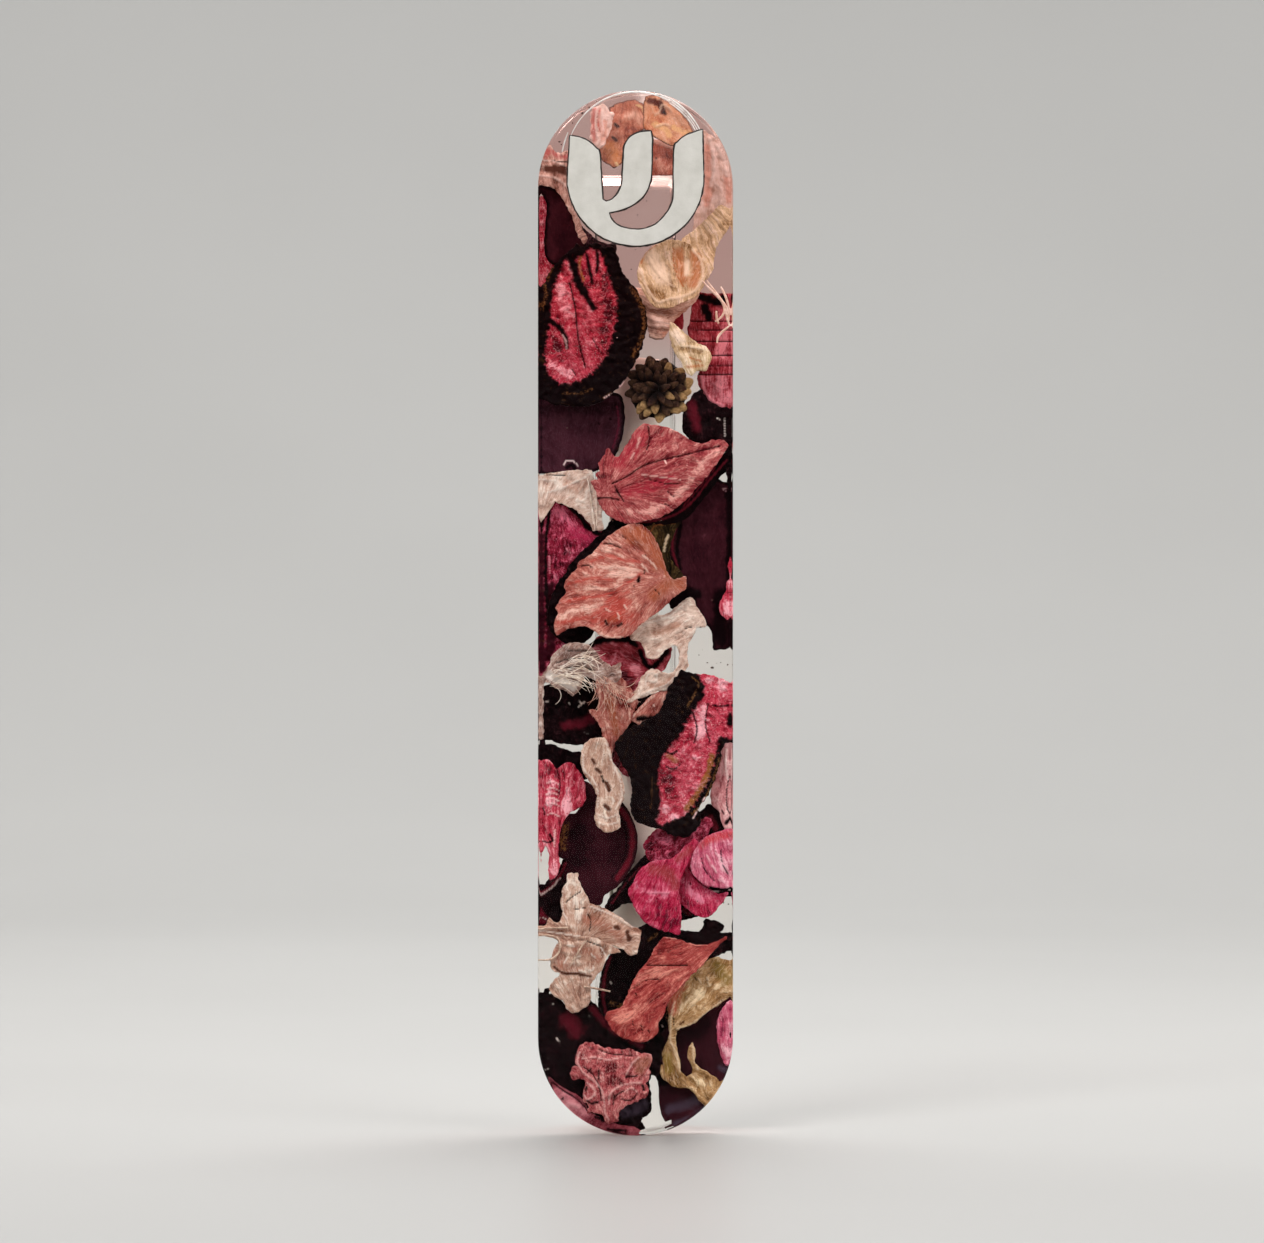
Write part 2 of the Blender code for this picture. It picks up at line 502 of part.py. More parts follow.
def letter_outline():
    """The letter shin: three strokes that rise from one round base."""
    centre = (0.0, LETTER_CENTRE)
    base = arc(centre, LETTER_RADIUS, 0.0, -math.pi, 20)
    left_top = [(-9.4, 143.4), (-8.0, 143.2), (-6.7, 142.6), (-5.6, 141.6), (-5.1, 140.6)]
    first_gap = [(-4.7, 134.3), (-4.2, 134.0), (-3.4, 134.3), (-2.6, 135.1), (-2.1, 136.2), (-1.9, 137.6)]
    middle_top = [(-1.7, 141.2), (-1.4, 142.4), (-0.7, 143.3), (0.5, 143.9), (2.2, 144.1), (2.4, 142.8)]
    middle_foot = [(2.3, 138.0), (2.0, 136.4), (1.3, 135.0), (0.1, 133.8), (-1.6, 132.9), (-3.8, 132.4)]
    second_gap = [(-3.4, 131.4), (-2.3, 130.5), (-0.6, 130.05), (1.2, 130.1), (2.8, 130.7),
                  (4.2, 132.0), (5.1, 133.5), (5.4, 135.2)]
    right_top = [(5.5, 141.4), (6.1, 142.6), (7.3, 143.5), (9.6, 144.3)]
    return base + left_top + first_gap + middle_top + middle_foot + second_gap + right_top


def make_emblem(group):
    film_back = FACE_FRONT - EMBLEM_GAP
    film = stadium(FILM_RADIUS, FILM_LOW_CENTRE, FILM_HIGH_CENTRE)
    plate("emblem_film", [film], film_back, FILM_THICKNESS, "clear_film", group)
    letter_back = film_back - FILM_THICKNESS - EMBLEM_GAP
    plate("emblem_letter_shin", [letter_outline()], letter_back, LETTER_THICKNESS, "white_sheet", group)


def make_scroll(group):
    """The rolled parchment stands on the lower end of the channel, against its side clearance."""
    bpy.ops.mesh.primitive_cylinder_add(
        vertices=SCROLL_SIDES, radius=SCROLL_DIAMETER / 2 * MM, depth=SCROLL_LENGTH * MM)
    scroll = bpy.context.active_object
    scroll.name = "parchment_scroll"
    scroll.data.name = "parchment_scroll"
    height = CHANNEL_LOW + GAP + SCROLL_LENGTH / 2 - MOUNT_HEIGHT
    scroll.location = (0.0, -CHANNEL_DEPTH / 2 * MM, height * MM)
    scroll.data.materials.append(material("parchment"))
    scroll.data.shade_smooth()
    scroll.data.set_sharp_from_angle(angle=math.radians(30))
    for owner in list(scroll.users_collection):
        owner.objects.unlink(scroll)
    group.objects.link(scroll)


def main():
    clear_scene()
    case = collection("mezuzah_case")
    cutters = collection("cutters")
    petals = petal_outlines()
    make_face_layer(case)
    make_petal_layers(petals, case)
    make_back_block(case, cutters)
    make_petals(petals, case)
    make_alder_cone(case)
    make_emblem(case)
    make_scroll(case)


main()
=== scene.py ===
"""Looks of the mezuzah case: clear cast resin with dried petals, an alder cone and a white letter.

Every flat CAD petal is replaced by a thin crinkled sheet in the same layer. All but one of them are
cut to a finer outline of their own. Scraps beside a petal, loose fibres, crumbs and bubbles have no CAD
piece. Lengths are millimetres, y is the frame's own, and heights start at the bottom of the case.
"""
import math
import random

import bmesh
import bpy
import numpy as np
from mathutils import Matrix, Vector, geometry, noise


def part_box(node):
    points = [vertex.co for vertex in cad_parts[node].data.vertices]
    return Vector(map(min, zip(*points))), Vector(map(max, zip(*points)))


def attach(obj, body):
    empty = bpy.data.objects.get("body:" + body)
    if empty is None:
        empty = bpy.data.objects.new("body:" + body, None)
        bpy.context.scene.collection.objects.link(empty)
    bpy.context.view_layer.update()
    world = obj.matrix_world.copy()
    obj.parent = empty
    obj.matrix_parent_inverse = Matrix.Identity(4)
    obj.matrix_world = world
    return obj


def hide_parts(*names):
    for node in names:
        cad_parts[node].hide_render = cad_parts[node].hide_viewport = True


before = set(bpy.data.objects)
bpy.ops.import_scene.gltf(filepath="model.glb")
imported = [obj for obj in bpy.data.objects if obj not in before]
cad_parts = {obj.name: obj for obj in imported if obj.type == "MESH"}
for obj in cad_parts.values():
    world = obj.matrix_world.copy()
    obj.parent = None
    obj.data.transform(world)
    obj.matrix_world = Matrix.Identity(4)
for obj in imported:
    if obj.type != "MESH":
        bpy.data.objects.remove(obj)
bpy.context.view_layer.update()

MM = 0.001
CASE_LOW, CASE_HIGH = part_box("resin_back_block")
BOTTOM = CASE_LOW.z
CASE_LENGTH = (CASE_HIGH.z - CASE_LOW.z) / MM
CASE_RADIUS = (CASE_HIGH.x - CASE_LOW.x) / 2 / MM
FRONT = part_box("resin_face_layer")[0].y / MM
REAR_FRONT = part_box("resin_rear_petal_layer")[0].y / MM

# Petals stop SKIN under the case's side. NET is the size of their mesh, SHEET their thickness, and a
# corner of an outline that turns more than CORNER degrees stays sharp.
SKIN = 0.22
NET = 0.21
SHEET = 0.13
CORNER = 58

# Sheets are cut this much larger than their outline, in the rear layer and in front of it.
GROWN_REAR, GROWN = 0.34, 0.16

# The scroll channel, open to the back: half width, depth, ends, corner radius, slope of its upper end.
CHANNEL_HALF, CHANNEL_DEPTH = 5.4, 9.4
CHANNEL_LOW, CHANNEL_HIGH = 11.8, 138.2
CHANNEL_CORNER, CHANNEL_DRAFT = 1.0, 1.5


# ---------------------------------------------------------------- small helpers

def rgb(red, green, blue):
    """A colour given as 0 to 255 on screen, made linear for the shaders."""
    def linear(value):
        value = value / 255
        return value / 12.92 if value <= 0.04045 else ((value + 0.055) / 1.055) ** 2.4
    return (linear(red), linear(green), linear(blue), 1.0)


def at(x, height, y):
    return Vector((x * MM, y * MM, BOTTOM + height * MM))


def layer_depth(name):
    """The y of the middle of a CAD piece."""
    low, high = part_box(name)
    return (low.y + high.y) / 2 / MM


def smoothstep(low, high, value):
    t = np.clip((value - low) / (high - low), 0.0, 1.0)
    return t * t * (3 - 2 * t)


def node_outline(name):
    """The outline of a flat CAD piece, as (x, height) points in order."""
    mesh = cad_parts[name].data
    front = min(v.co.y for v in mesh.vertices)
    directed = set()
    for polygon in mesh.polygons:
        points = [mesh.vertices[i].co for i in polygon.vertices]
        if max(p.y for p in points) - front > 1e-5:
            continue
        keys = [(round(p.x / MM, 3), round((p.z - BOTTOM) / MM, 3)) for p in points]
        directed.update(zip(keys, keys[1:] + keys[:1]))
    following = {a: b for a, b in directed if (b, a) not in directed}
    start = min(following)
    outline = [start]
    while following[outline[-1]] != start:
        outline.append(following[outline[-1]])
    return outline


def spline(points, spacing, closed):
    """A Catmull-Rom curve through the points, sampled at about one spacing."""
    points = [np.array(p, float) for p in points]
    count = len(points)
    result = []
    for i in range(count if closed else count - 1):
        if closed:
            a, b, c, d = (points[(i + k) % count] for k in (-1, 0, 1, 2))
        else:
            a, b = points[max(i - 1, 0)], points[i]
            c, d = points[i + 1], points[min(i + 2, count - 1)]
        steps = max(1, math.ceil(np.linalg.norm(c - b) / spacing))
        for step in range(steps):
            t = step / steps
            result.append(0.5 * (2 * b + (c - a) * t + (2 * a - 5 * b + 4 * c - d) * t * t
                                 + (3 * b - a - 3 * c + d) * t ** 3))
    if not closed:
        result.append(points[-1])
    return np.array(result)


def sharp_spline(points, spacing, corner):
    """A smooth closed curve that keeps every corner sharper than the given number of degrees."""
    points = [np.array(p, float) for p in points]
    count = len(points)
    corners = []
    for i in range(count):
        before, after = points[i] - points[i - 1], points[(i + 1) % count] - points[i]
        turn = math.atan2(before[0] * after[1] - before[1] * after[0], before @ after)
        if abs(math.degrees(turn)) > corner:
            corners.append(i)
    if not corners:
        return spline(points, spacing, True)
    pieces = []
    for start, end in zip(corners, corners[1:] + [corners[0] + count]):
        pieces.append(spline([points[i % count] for i in range(start, end + 1)], spacing, False)[:-1])
    return np.vstack(pieces)


def normals_of(loop):
    """Unit normals of a closed loop, pointing out of it."""
    along = np.roll(loop, -1, axis=0) - np.roll(loop, 1, axis=0)
    normal = np.stack([along[:, 1], -along[:, 0]], axis=1)
    normal /= np.linalg.norm(normal, axis=1)[:, None] + 1e-9
    x, z = loop[:, 0], loop[:, 1]
    turned = np.sum(x * np.roll(z, -1) - np.roll(x, -1) * z)
    return normal if turned > 0 else -normal


def distance_to(points, line, closed):
    """Distance of each point to a line of points."""
    a = line if closed else line[:-1]
    b = np.roll(line, -1, axis=0) if closed else line[1:]
    ab = b - a
    length = np.maximum((ab ** 2).sum(1), 1e-12)
    result = np.full(len(points), 1e9)
    for start in range(0, len(points), 2000):
        part = points[start:start + 2000]
        rel = part[:, None, :] - a[None]
        t = np.clip((rel * ab[None]).sum(2) / length[None], 0, 1)
        gap = rel - t[..., None] * ab[None]
        result[start:start + 2000] = np.sqrt((gap ** 2).sum(2)).min(1)
    return result


def inside(points, loop):
    """Which points lie inside a closed loop."""
    x, z = points[:, 0], points[:, 1]
    result = np.zeros(len(points), bool)
    for (x0, z0), (x1, z1) in zip(loop, np.roll(loop, -1, axis=0)):
        crosses = (z0 > z) != (z1 > z)
        if crosses.any():
            slope = (x1 - x0) / (z1 - z0) if z1 != z0 else 0.0
            result ^= crosses & (x < x0 + (z - z0) * slope)
    return result


def kept_inside(points):
    """Moves points that would leave the case back to just under its side."""
    reach = CASE_RADIUS - SKIN
    middle = np.clip(points[:, 1], CASE_RADIUS, CASE_LENGTH - CASE_RADIUS)
    dx, dz = points[:, 0], points[:, 1] - middle
    away = np.maximum(np.hypot(dx, dz), 1e-9)
    target = np.minimum(away, reach)
    return np.column_stack([dx * target / away, middle + dz * target / away])


def wavy(points, size, seed):
    """Smooth noise in -1..1 over (x, height) points, with features of about this size."""
    return np.array([noise.noise(Vector((x / size, z / size, seed * 7.31))) for x, z in points])


def rough(points, size, seed, octaves=3):
    """Crumple noise in about -1..1, with sharp ridges."""
    total = np.zeros(len(points))
    weight = 1.0
    for octave in range(octaves):
        layer = wavy(points, size / 2 ** octave, seed + octave)
        total += weight * (1 - 3.2 * np.abs(layer))
        weight *= 0.5
    return total / 1.75


def net_of(outline, spacing):
    """Triangles that fill an outline, with points about one spacing apart."""
    low, high = outline.min(0), outline.max(0)
    rows = np.arange(low[1] + spacing / 2, high[1], spacing * 0.87)
    grid = []
    for index, z in enumerate(rows):
        shift = spacing / 2 if index % 2 else 0.0
        for x in np.arange(low[0] + shift, high[0], spacing):
            grid.append((x, z))
    grid = np.array(grid).reshape(-1, 2)
    grid = grid[inside(grid, outline)]
    grid = grid[distance_to(grid, outline, True) > spacing * 0.5]
    points = [Vector(p) for p in outline] + [Vector(p) for p in grid]
    made = geometry.delaunay_2d_cdt(points, [], [list(range(len(outline)))], 1, 1e-5)
    return np.array([tuple(p) for p in made[0]]), made[2]


def linked(name, data):
    """An object in the scene that shows this mesh, curve, lamp or camera."""
    obj = bpy.data.objects.new(name, data)
    bpy.context.scene.collection.objects.link(obj)
    return obj


def new_object(name, vertices, faces, smooth=True):
    mesh = bpy.data.meshes.new(name)
    mesh.from_pydata([tuple(v) for v in vertices], [], faces)
    if smooth:
        mesh.shade_smooth()
    return linked(name, mesh)


def thicken(obj, thickness):
    """Gives a sheet a thickness, half of it to each side."""
    solid = obj.modifiers.new("thickness", "SOLIDIFY")
    solid.thickness = thickness * MM
    solid.offset = 0.0


def quads(first, rows, columns, closed):
    """Four-sided faces between rows of points that follow one another in a list."""
    faces = []
    for row in range(rows - 1):
        for column in range(columns if closed else columns - 1):
            a = first + row * columns + column
            b = first + row * columns + (column + 1) % columns
            faces.append((a, b, b + columns, a + columns))
    return faces


def add_ball(vertices, faces, shaped, subdivisions=2, inwards=False):
    """Adds a ball whose points are moved by shaped. Its faces may look inwards."""
    ball = bmesh.new()
    bmesh.ops.create_icosphere(ball, subdivisions=subdivisions, radius=1.0)
    first = len(vertices)
    vertices += [shaped(vertex.co) for vertex in ball.verts]
    for face in ball.faces:
        corners = [first + vertex.index for vertex in face.verts]
        faces.append(tuple(reversed(corners) if inwards else corners))
    ball.free()


def set_attribute(obj, name, kind, values):
    attribute = obj.data.attributes.new(name, kind, "POINT")
    field = "value" if kind == "FLOAT" else "vector"
    attribute.data.foreach_set(field, np.asarray(values, np.float32).ravel())


# ---------------------------------------------------------------- node material helpers

class Shader:
    """A material's node tree, with short calls that add and link nodes."""

    def __init__(self, name):
        self.material = bpy.data.materials.new(name)
        self.material.use_nodes = True
        self.tree = self.material.node_tree
        self.surface = self.tree.nodes["Principled BSDF"]
        self.output = self.tree.nodes["Material Output"]

    def node(self, kind, inputs=None, **settings):
        made = self.tree.nodes.new(kind)
        for key, value in settings.items():
            setattr(made, key, value)
        for key, value in (inputs or {}).items():
            if isinstance(value, bpy.types.NodeSocket):
                self.tree.links.new(value, made.inputs[key])
            else:
                made.inputs[key].default_value = value
        return made

    def set(self, **values):
        for key, value in values.items():
            socket = self.surface.inputs[key.replace("_", " ")]
            if isinstance(value, bpy.types.NodeSocket):
                self.tree.links.new(value, socket)
            else:
                socket.default_value = value

    def math(self, operation, first, second=0.0):
        return self.node("ShaderNodeMath", {0: first, 1: second}, operation=operation).outputs[0]

    def times(self, first, second):
        return self.math("MULTIPLY", first, second)

    def about_zero(self, value, strength):
        """Noise in 0..1 made to vary about zero."""
        return self.times(self.math("SUBTRACT", value, 0.5), strength)

    def split(self, vector):
        return self.node("ShaderNodeSeparateXYZ", {0: vector}).outputs

    def fade(self, value, low, high):
        """0 below low and 1 above high."""
        made = self.node("ShaderNodeMapRange", {0: value, 1: low, 2: high, 3: 0.0, 4: 1.0})
        return made.outputs[0]

    def mix(self, share, first, second):
        made = self.node("ShaderNodeMix", {0: share, 6: first, 7: second}, data_type="RGBA")
        return made.outputs[2]

    def blend(self, share, first, second):
        """One surface blended with another."""
        return self.node("ShaderNodeMixShader", {0: share, 1: first, 2: second}).outputs[0]

    def ramp(self, value, stops):
        made = self.node("ShaderNodeValToRGB", {0: value})
        elements = made.color_ramp.elements
        while len(elements) < len(stops):
            elements.new(0.5)
        for element, (place, colour) in zip(elements, stops):
            element.position = place
            element.color = colour
        return made.outputs[0]

    def noise(self, vector, scale, detail=3.0, roughness=0.55, distortion=0.0):
        return self.node("ShaderNodeTexNoise", {
            "Vector": vector, "Scale": scale, "Detail": detail, "Roughness": roughness,
            "Distortion": distortion}).outputs[0]

    def place(self):
        """Object coordinates in millimetres. The third one is z, not the height over the bottom."""
        coordinate = self.node("ShaderNodeTexCoord").outputs["Object"]
        scaled = self.node("ShaderNodeVectorMath", {0: coordinate, "Scale": 1 / MM}, operation="SCALE")
        return scaled.outputs[0]

    def attribute(self, name):
        return self.node("ShaderNodeAttribute", attribute_name=name)

    def bump(self, height, distance, strength=1.0):
        made = self.node("ShaderNodeBump", {
            "Height": height, "Distance": distance * MM, "Strength": strength})
        self.set(Normal=made.outputs[0])


# ---------------------------------------------------------------- petals

# Colours of each kind of petal: deep folds, body, light parts, crests, then rim, pale and warm marks.
# The first four follow the tone, so the folds are painted in shade and the crests in light. The pale
# colour also paints the glints and the crest highlights.
BLACK = rgb(12, 3, 5)
ROSY = rgb(186, 74, 66)
BARK = rgb(112, 76, 42)
PLUM = rgb(70, 58, 72)
TONES = {
    "pink": [rgb(74, 8, 22), rgb(166, 36, 58), rgb(196, 72, 92), rgb(244, 178, 190),
             BLACK, rgb(248, 216, 216), rgb(150, 96, 50)],
    "pinkpale": [rgb(130, 40, 68), rgb(186, 76, 106), rgb(204, 110, 136), rgb(240, 186, 200),
                 rgb(80, 20, 40), rgb(246, 214, 220), rgb(184, 46, 48)],
    "blush": [rgb(146, 76, 82), rgb(198, 130, 134), rgb(214, 158, 160), rgb(244, 212, 210),
              rgb(96, 50, 52), rgb(248, 230, 226), rgb(176, 100, 104)],
    "magenta": [rgb(92, 8, 32), rgb(168, 30, 64), rgb(192, 58, 92), rgb(228, 134, 160),
                rgb(60, 8, 20), rgb(236, 160, 180), rgb(150, 60, 60)],
    "crimson": [rgb(46, 4, 14), rgb(108, 16, 36), rgb(144, 32, 58), rgb(214, 108, 136),
                rgb(50, 8, 20), rgb(225, 150, 165), rgb(178, 44, 82)],
    "red": [rgb(52, 8, 14), rgb(128, 34, 44), rgb(166, 68, 80), rgb(212, 130, 142),
            BLACK, rgb(222, 140, 154), rgb(150, 60, 50)],
    "rose": [rgb(88, 20, 28), rgb(162, 70, 76), rgb(188, 102, 104), rgb(232, 172, 168),
             rgb(40, 8, 12), rgb(242, 200, 196), rgb(160, 104, 84)],
    "leaf": [rgb(74, 14, 22), rgb(146, 56, 62), rgb(174, 90, 90), rgb(228, 168, 160),
             BLACK, rgb(240, 204, 196), rgb(166, 46, 62)],
    "rimrose": [rgb(44, 10, 16), rgb(104, 38, 48), rgb(150, 78, 88), rgb(196, 128, 136),
                BLACK, rgb(220, 160, 165), rgb(190, 110, 120)],
    "coral": [rgb(88, 20, 24), rgb(150, 56, 56), rgb(174, 80, 76), rgb(224, 146, 132),
              BLACK, rgb(240, 166, 152), rgb(140, 62, 38)],
    "salmon": [rgb(106, 38, 36), rgb(162, 86, 78), rgb(190, 120, 108), rgb(236, 194, 180),
               BLACK, rgb(240, 218, 204), rgb(164, 88, 60)],
    "veil": [rgb(216, 182, 166), rgb(234, 214, 202), rgb(241, 226, 216), rgb(252, 244, 238),
             rgb(170, 118, 104), rgb(252, 246, 240), rgb(232, 176, 156)],
    "orange": [rgb(180, 104, 66), rgb(220, 164, 120), rgb(234, 194, 158), rgb(250, 234, 216),
               rgb(96, 40, 24), rgb(250, 236, 206), rgb(240, 206, 148)],
    "brown": [rgb(132, 62, 46), rgb(194, 126, 98), rgb(218, 162, 136), rgb(244, 212, 190),
              rgb(66, 24, 18), rgb(246, 234, 180), rgb(230, 164, 100)],
    "rust": [rgb(112, 44, 32), rgb(172, 90, 68), rgb(194, 118, 96), rgb(234, 184, 164),
             rgb(60, 20, 14), rgb(244, 222, 210), rgb(140, 50, 38)],
    "tan": [rgb(84, 52, 26), rgb(150, 114, 74), rgb(178, 142, 100), rgb(232, 210, 174),
            rgb(84, 48, 26), rgb(240, 222, 192), rgb(136, 112, 54)],
    "olive": [rgb(12, 9, 4), rgb(36, 26, 13), rgb(56, 41, 21), rgb(110, 88, 52),
              rgb(20, 12, 6), rgb(190, 170, 140), rgb(120, 66, 34)],
    "beige": [rgb(112, 74, 62), rgb(184, 146, 132), rgb(210, 180, 166), rgb(244, 230, 218),
              rgb(96, 64, 54), rgb(248, 238, 228), rgb(196, 104, 104)],
    "strip": [rgb(120, 78, 62), rgb(182, 142, 124), rgb(204, 172, 154), rgb(242, 230, 218),
              rgb(80, 46, 36), rgb(248, 242, 234), rgb(164, 108, 90)],
    "tuft": [rgb(84, 60, 56), rgb(150, 116, 106), rgb(184, 158, 148), rgb(236, 228, 222),
             rgb(60, 40, 36), rgb(230, 222, 216), rgb(118, 84, 76)],
    "shaving": [rgb(150, 112, 98), rgb(212, 182, 166), rgb(230, 206, 192), rgb(250, 242, 232),
                rgb(130, 96, 82), rgb(250, 244, 236), rgb(182, 134, 112)],
    "cream": [rgb(132, 104, 64), rgb(202, 184, 144), rgb(226, 214, 178), rgb(252, 248, 228),
              rgb(160, 122, 82), rgb(250, 247, 222), rgb(190, 122, 72)],
    "maroon": [rgb(20, 5, 9), rgb(44, 14, 22), rgb(56, 22, 30), rgb(96, 50, 60),
               rgb(18, 4, 8), rgb(150, 110, 116), rgb(104, 24, 38)],
    "plum": [rgb(30, 10, 16), rgb(56, 26, 36), rgb(68, 36, 46), rgb(104, 72, 84),
             rgb(22, 8, 14), rgb(210, 190, 190), rgb(96, 26, 46)],
    "black": [rgb(4, 1, 2), rgb(9, 3, 4), rgb(18, 6, 9), rgb(62, 34, 38),
              rgb(8, 2, 3), rgb(226, 214, 208), rgb(92, 20, 34)],
}

# How each kind of surface is creased: veins (per millimetre, height) and their stretch along the
# petal, crumple (size, height), dome, curl and raggedness of the edge, creases, then its shading.
# The tone follows this relief: contrast sets how strongly light and shade are painted on it, crease also how
# dark the creases are painted, and glint how many glints are painted.
KINDS = {
    "crinkled": dict(vein=(1.3, 0.14), stretch=0.35, crumple=(1.5, 0.26), dome=0.2, curl=0.0, crease=0.8,
                     contrast=1.0, ragged=0.14, gloss=0.30, opacity=1.0, specular=0.03, glint=0.5),
    "fleshy": dict(vein=(1.0, 0.16), stretch=0.5, crumple=(1.4, 0.28), dome=0.2, curl=0.0, crease=0.8,
                   contrast=0.75, ragged=0.14, gloss=0.26, opacity=1.0, specular=0.05, glint=0.6),
    "veined": dict(vein=(1.2, 0.11), stretch=0.13, crumple=(3.2, 0.20), dome=0.35, curl=0.12, crease=0.6,
                   contrast=0.85, ragged=0.09, gloss=0.36, opacity=1.0, specular=0.02, glint=0.15),
    "smooth": dict(vein=(0.7, 0.02), stretch=0.3, crumple=(4.0, 0.12), dome=0.45, curl=0.2, crease=0.1,
                   contrast=0.4, ragged=0.05, gloss=0.30, opacity=1.0, specular=0.02, glint=0.0),
    "silky": dict(vein=(1.6, 0.05), stretch=0.22, crumple=(2.4, 0.14), dome=0.4, curl=0.1, crease=0.2,
                  contrast=0.6, ragged=0.07, gloss=0.24, opacity=1.0, specular=0.12, glint=0.2),
    "lumpy": dict(vein=(0.8, 0.06), stretch=0.5, crumple=(1.8, 0.26), dome=0.2, curl=0.0, crease=0.4,
                  contrast=0.7, ragged=0.12, gloss=0.26, opacity=1.0, specular=0.02, glint=0.0),
    "sheer": dict(vein=(1.1, 0.14), stretch=0.2, crumple=(1.9, 0.28), dome=0.1, curl=0.1, crease=0.6,
                  contrast=0.85, ragged=0.12, gloss=0.28, opacity=0.88, specular=0.04, glint=0.35),
    "pleated": dict(vein=(0.8, 0.30), stretch=0.08, crumple=(2.6, 0.12), dome=0.2, curl=0.0, crease=0.4,
                    contrast=0.95, ragged=0.10, gloss=0.4, opacity=1.0, specular=0.02, glint=0.1),
}

# Marks that fade out, and the mask that each is drawn on. A glow is a soft painted highlight.
SOFT_MARKS = {"tint": "warm", "rosy": "rosy", "plumy": "plum", "glow": "pale"}

# Thin lines along the veins, dark ones painted as shade in the creases and pale ones as highlights on
# the crests: noise scale, whether they are dark or pale, and how strong they are.
VEIN_SHADE_AND_HIGHLIGHT_LINES = ((1.9, "dark", 0.50), (2.7, "pale", 0.36))


def petal_material(name, tone, kind, opacity):
    """Folded, veined petal skin. Its tone, marks and vein directions are held on the mesh."""
    deep, body, light, crest, rim, pale, warm = TONES[tone]
    look = KINDS[kind]
    shader = Shader(name)
    flow = shader.attribute("flow").outputs["Vector"]
    rim_mask, dark_mask, pale_mask = shader.split(shader.attribute("marks").outputs["Vector"])
    warm_mask, rosy_mask, bark_mask = shader.split(shader.attribute("more").outputs["Vector"])
    plum_mask = shader.attribute("plum").outputs["Fac"]
    height = shader.attribute("tone").outputs["Fac"]
    place = shader.place()
    contrast = look["contrast"]
    fibre = shader.noise(flow, 3.2, 4.0, 0.6, 0.5)
    speckle = shader.noise(place, 3.0, 4.0, 0.65)
    patch = shader.noise(place, 0.35, 2.0)
    value = height
    for detail, strength in ((fibre, contrast * 1.25), (speckle, contrast), (patch, 0.6)):
        value = shader.math("ADD", value, shader.about_zero(detail, strength))
    # Painted light and shade: the tone runs from the deep colour in the folds to the crest colour on the
    # raised parts.
    skin = shader.ramp(value, [(0.08, deep), (0.42, body), (0.68, light), (0.97, crest)])
    spots = shader.fade(shader.noise(place, 1.7, 2.0, 0.7), 0.68, 0.74)
    skin = shader.mix(shader.times(spots, 0.6 * contrast), skin, deep)
    skin = shader.mix(warm_mask, skin, warm)
    skin = shader.mix(rosy_mask, skin, ROSY)
    # Dark lines paint shade in the creases along the veins, and pale ones paint highlights on their crests.
    for scale, shade, share in VEIN_SHADE_AND_HIGHLIGHT_LINES:
        ridge = shader.math("SUBTRACT", shader.noise(flow, scale, 2.0, 0.5, 0.4), 0.5)
        line = shader.fade(shader.math("ABSOLUTE", ridge), 0.032, 0.006)
        skin = shader.mix(shader.times(line, share * contrast), skin, deep if shade == "dark" else crest)
    glints = shader.fade(shader.noise(place, 5.0, 1.0), 0.69, 0.73)
    skin = shader.mix(shader.times(glints, look["glint"]), skin, pale)
    streaks = shader.times(shader.fade(fibre, 0.60, 0.74), 0.30)
    skin = shader.mix(rim_mask, skin, shader.mix(streaks, rim, BARK))
    skin = shader.mix(shader.times(bark_mask, shader.fade(speckle, 0.44, 0.60)), skin, BARK)
    for mask, colour in ((plum_mask, PLUM), (dark_mask, BLACK), (pale_mask, pale)):
        skin = shader.mix(mask, skin, colour)
    gloss = shader.math("ADD", shader.times(speckle, 0.35), look["gloss"] - 0.12)
    shader.set(Base_Color=skin, Specular_IOR_Level=look["specular"], Roughness=gloss, Alpha=opacity)
    wrinkle = shader.math("ADD", shader.times(fibre, 0.6), speckle)
    shader.bump(wrinkle, 0.10 if kind != "smooth" else 0.03)
    return shader.material


def flow_of(points, spring, centre):
    """Vein coordinates: across the veins, then along them. Veins fan out from the spring point."""
    rel = points - np.array(spring, float)
    away = centre - np.array(spring, float)
    mean_radius = max(2.0, np.linalg.norm(away))
    heading = math.atan2(away[1], away[0])
    angle = np.arctan2(rel[:, 1], rel[:, 0]) - heading
    angle = (angle + math.pi) % (2 * math.pi) - math.pi
    return np.stack([angle * mean_radius, np.hypot(rel[:, 0], rel[:, 1])], axis=1)


def ring_flow(points, ring, depth):
    """Vein coordinates for veins that run in from a ring all round it."""
    following = np.roll(ring, -1, axis=0)
    length = np.linalg.norm(following - ring, axis=1)
    along = np.concatenate([[0.0], np.cumsum(length)[:-1]])
    middles = (ring + following) / 2
    nearest = np.array([np.argmin(((middles - p) ** 2).sum(1)) for p in points])
    reach = ((points - ring[nearest]) * (following - ring)[nearest]).sum(1) / length[nearest]
    return np.stack([along[nearest] + reach, depth], axis=1)


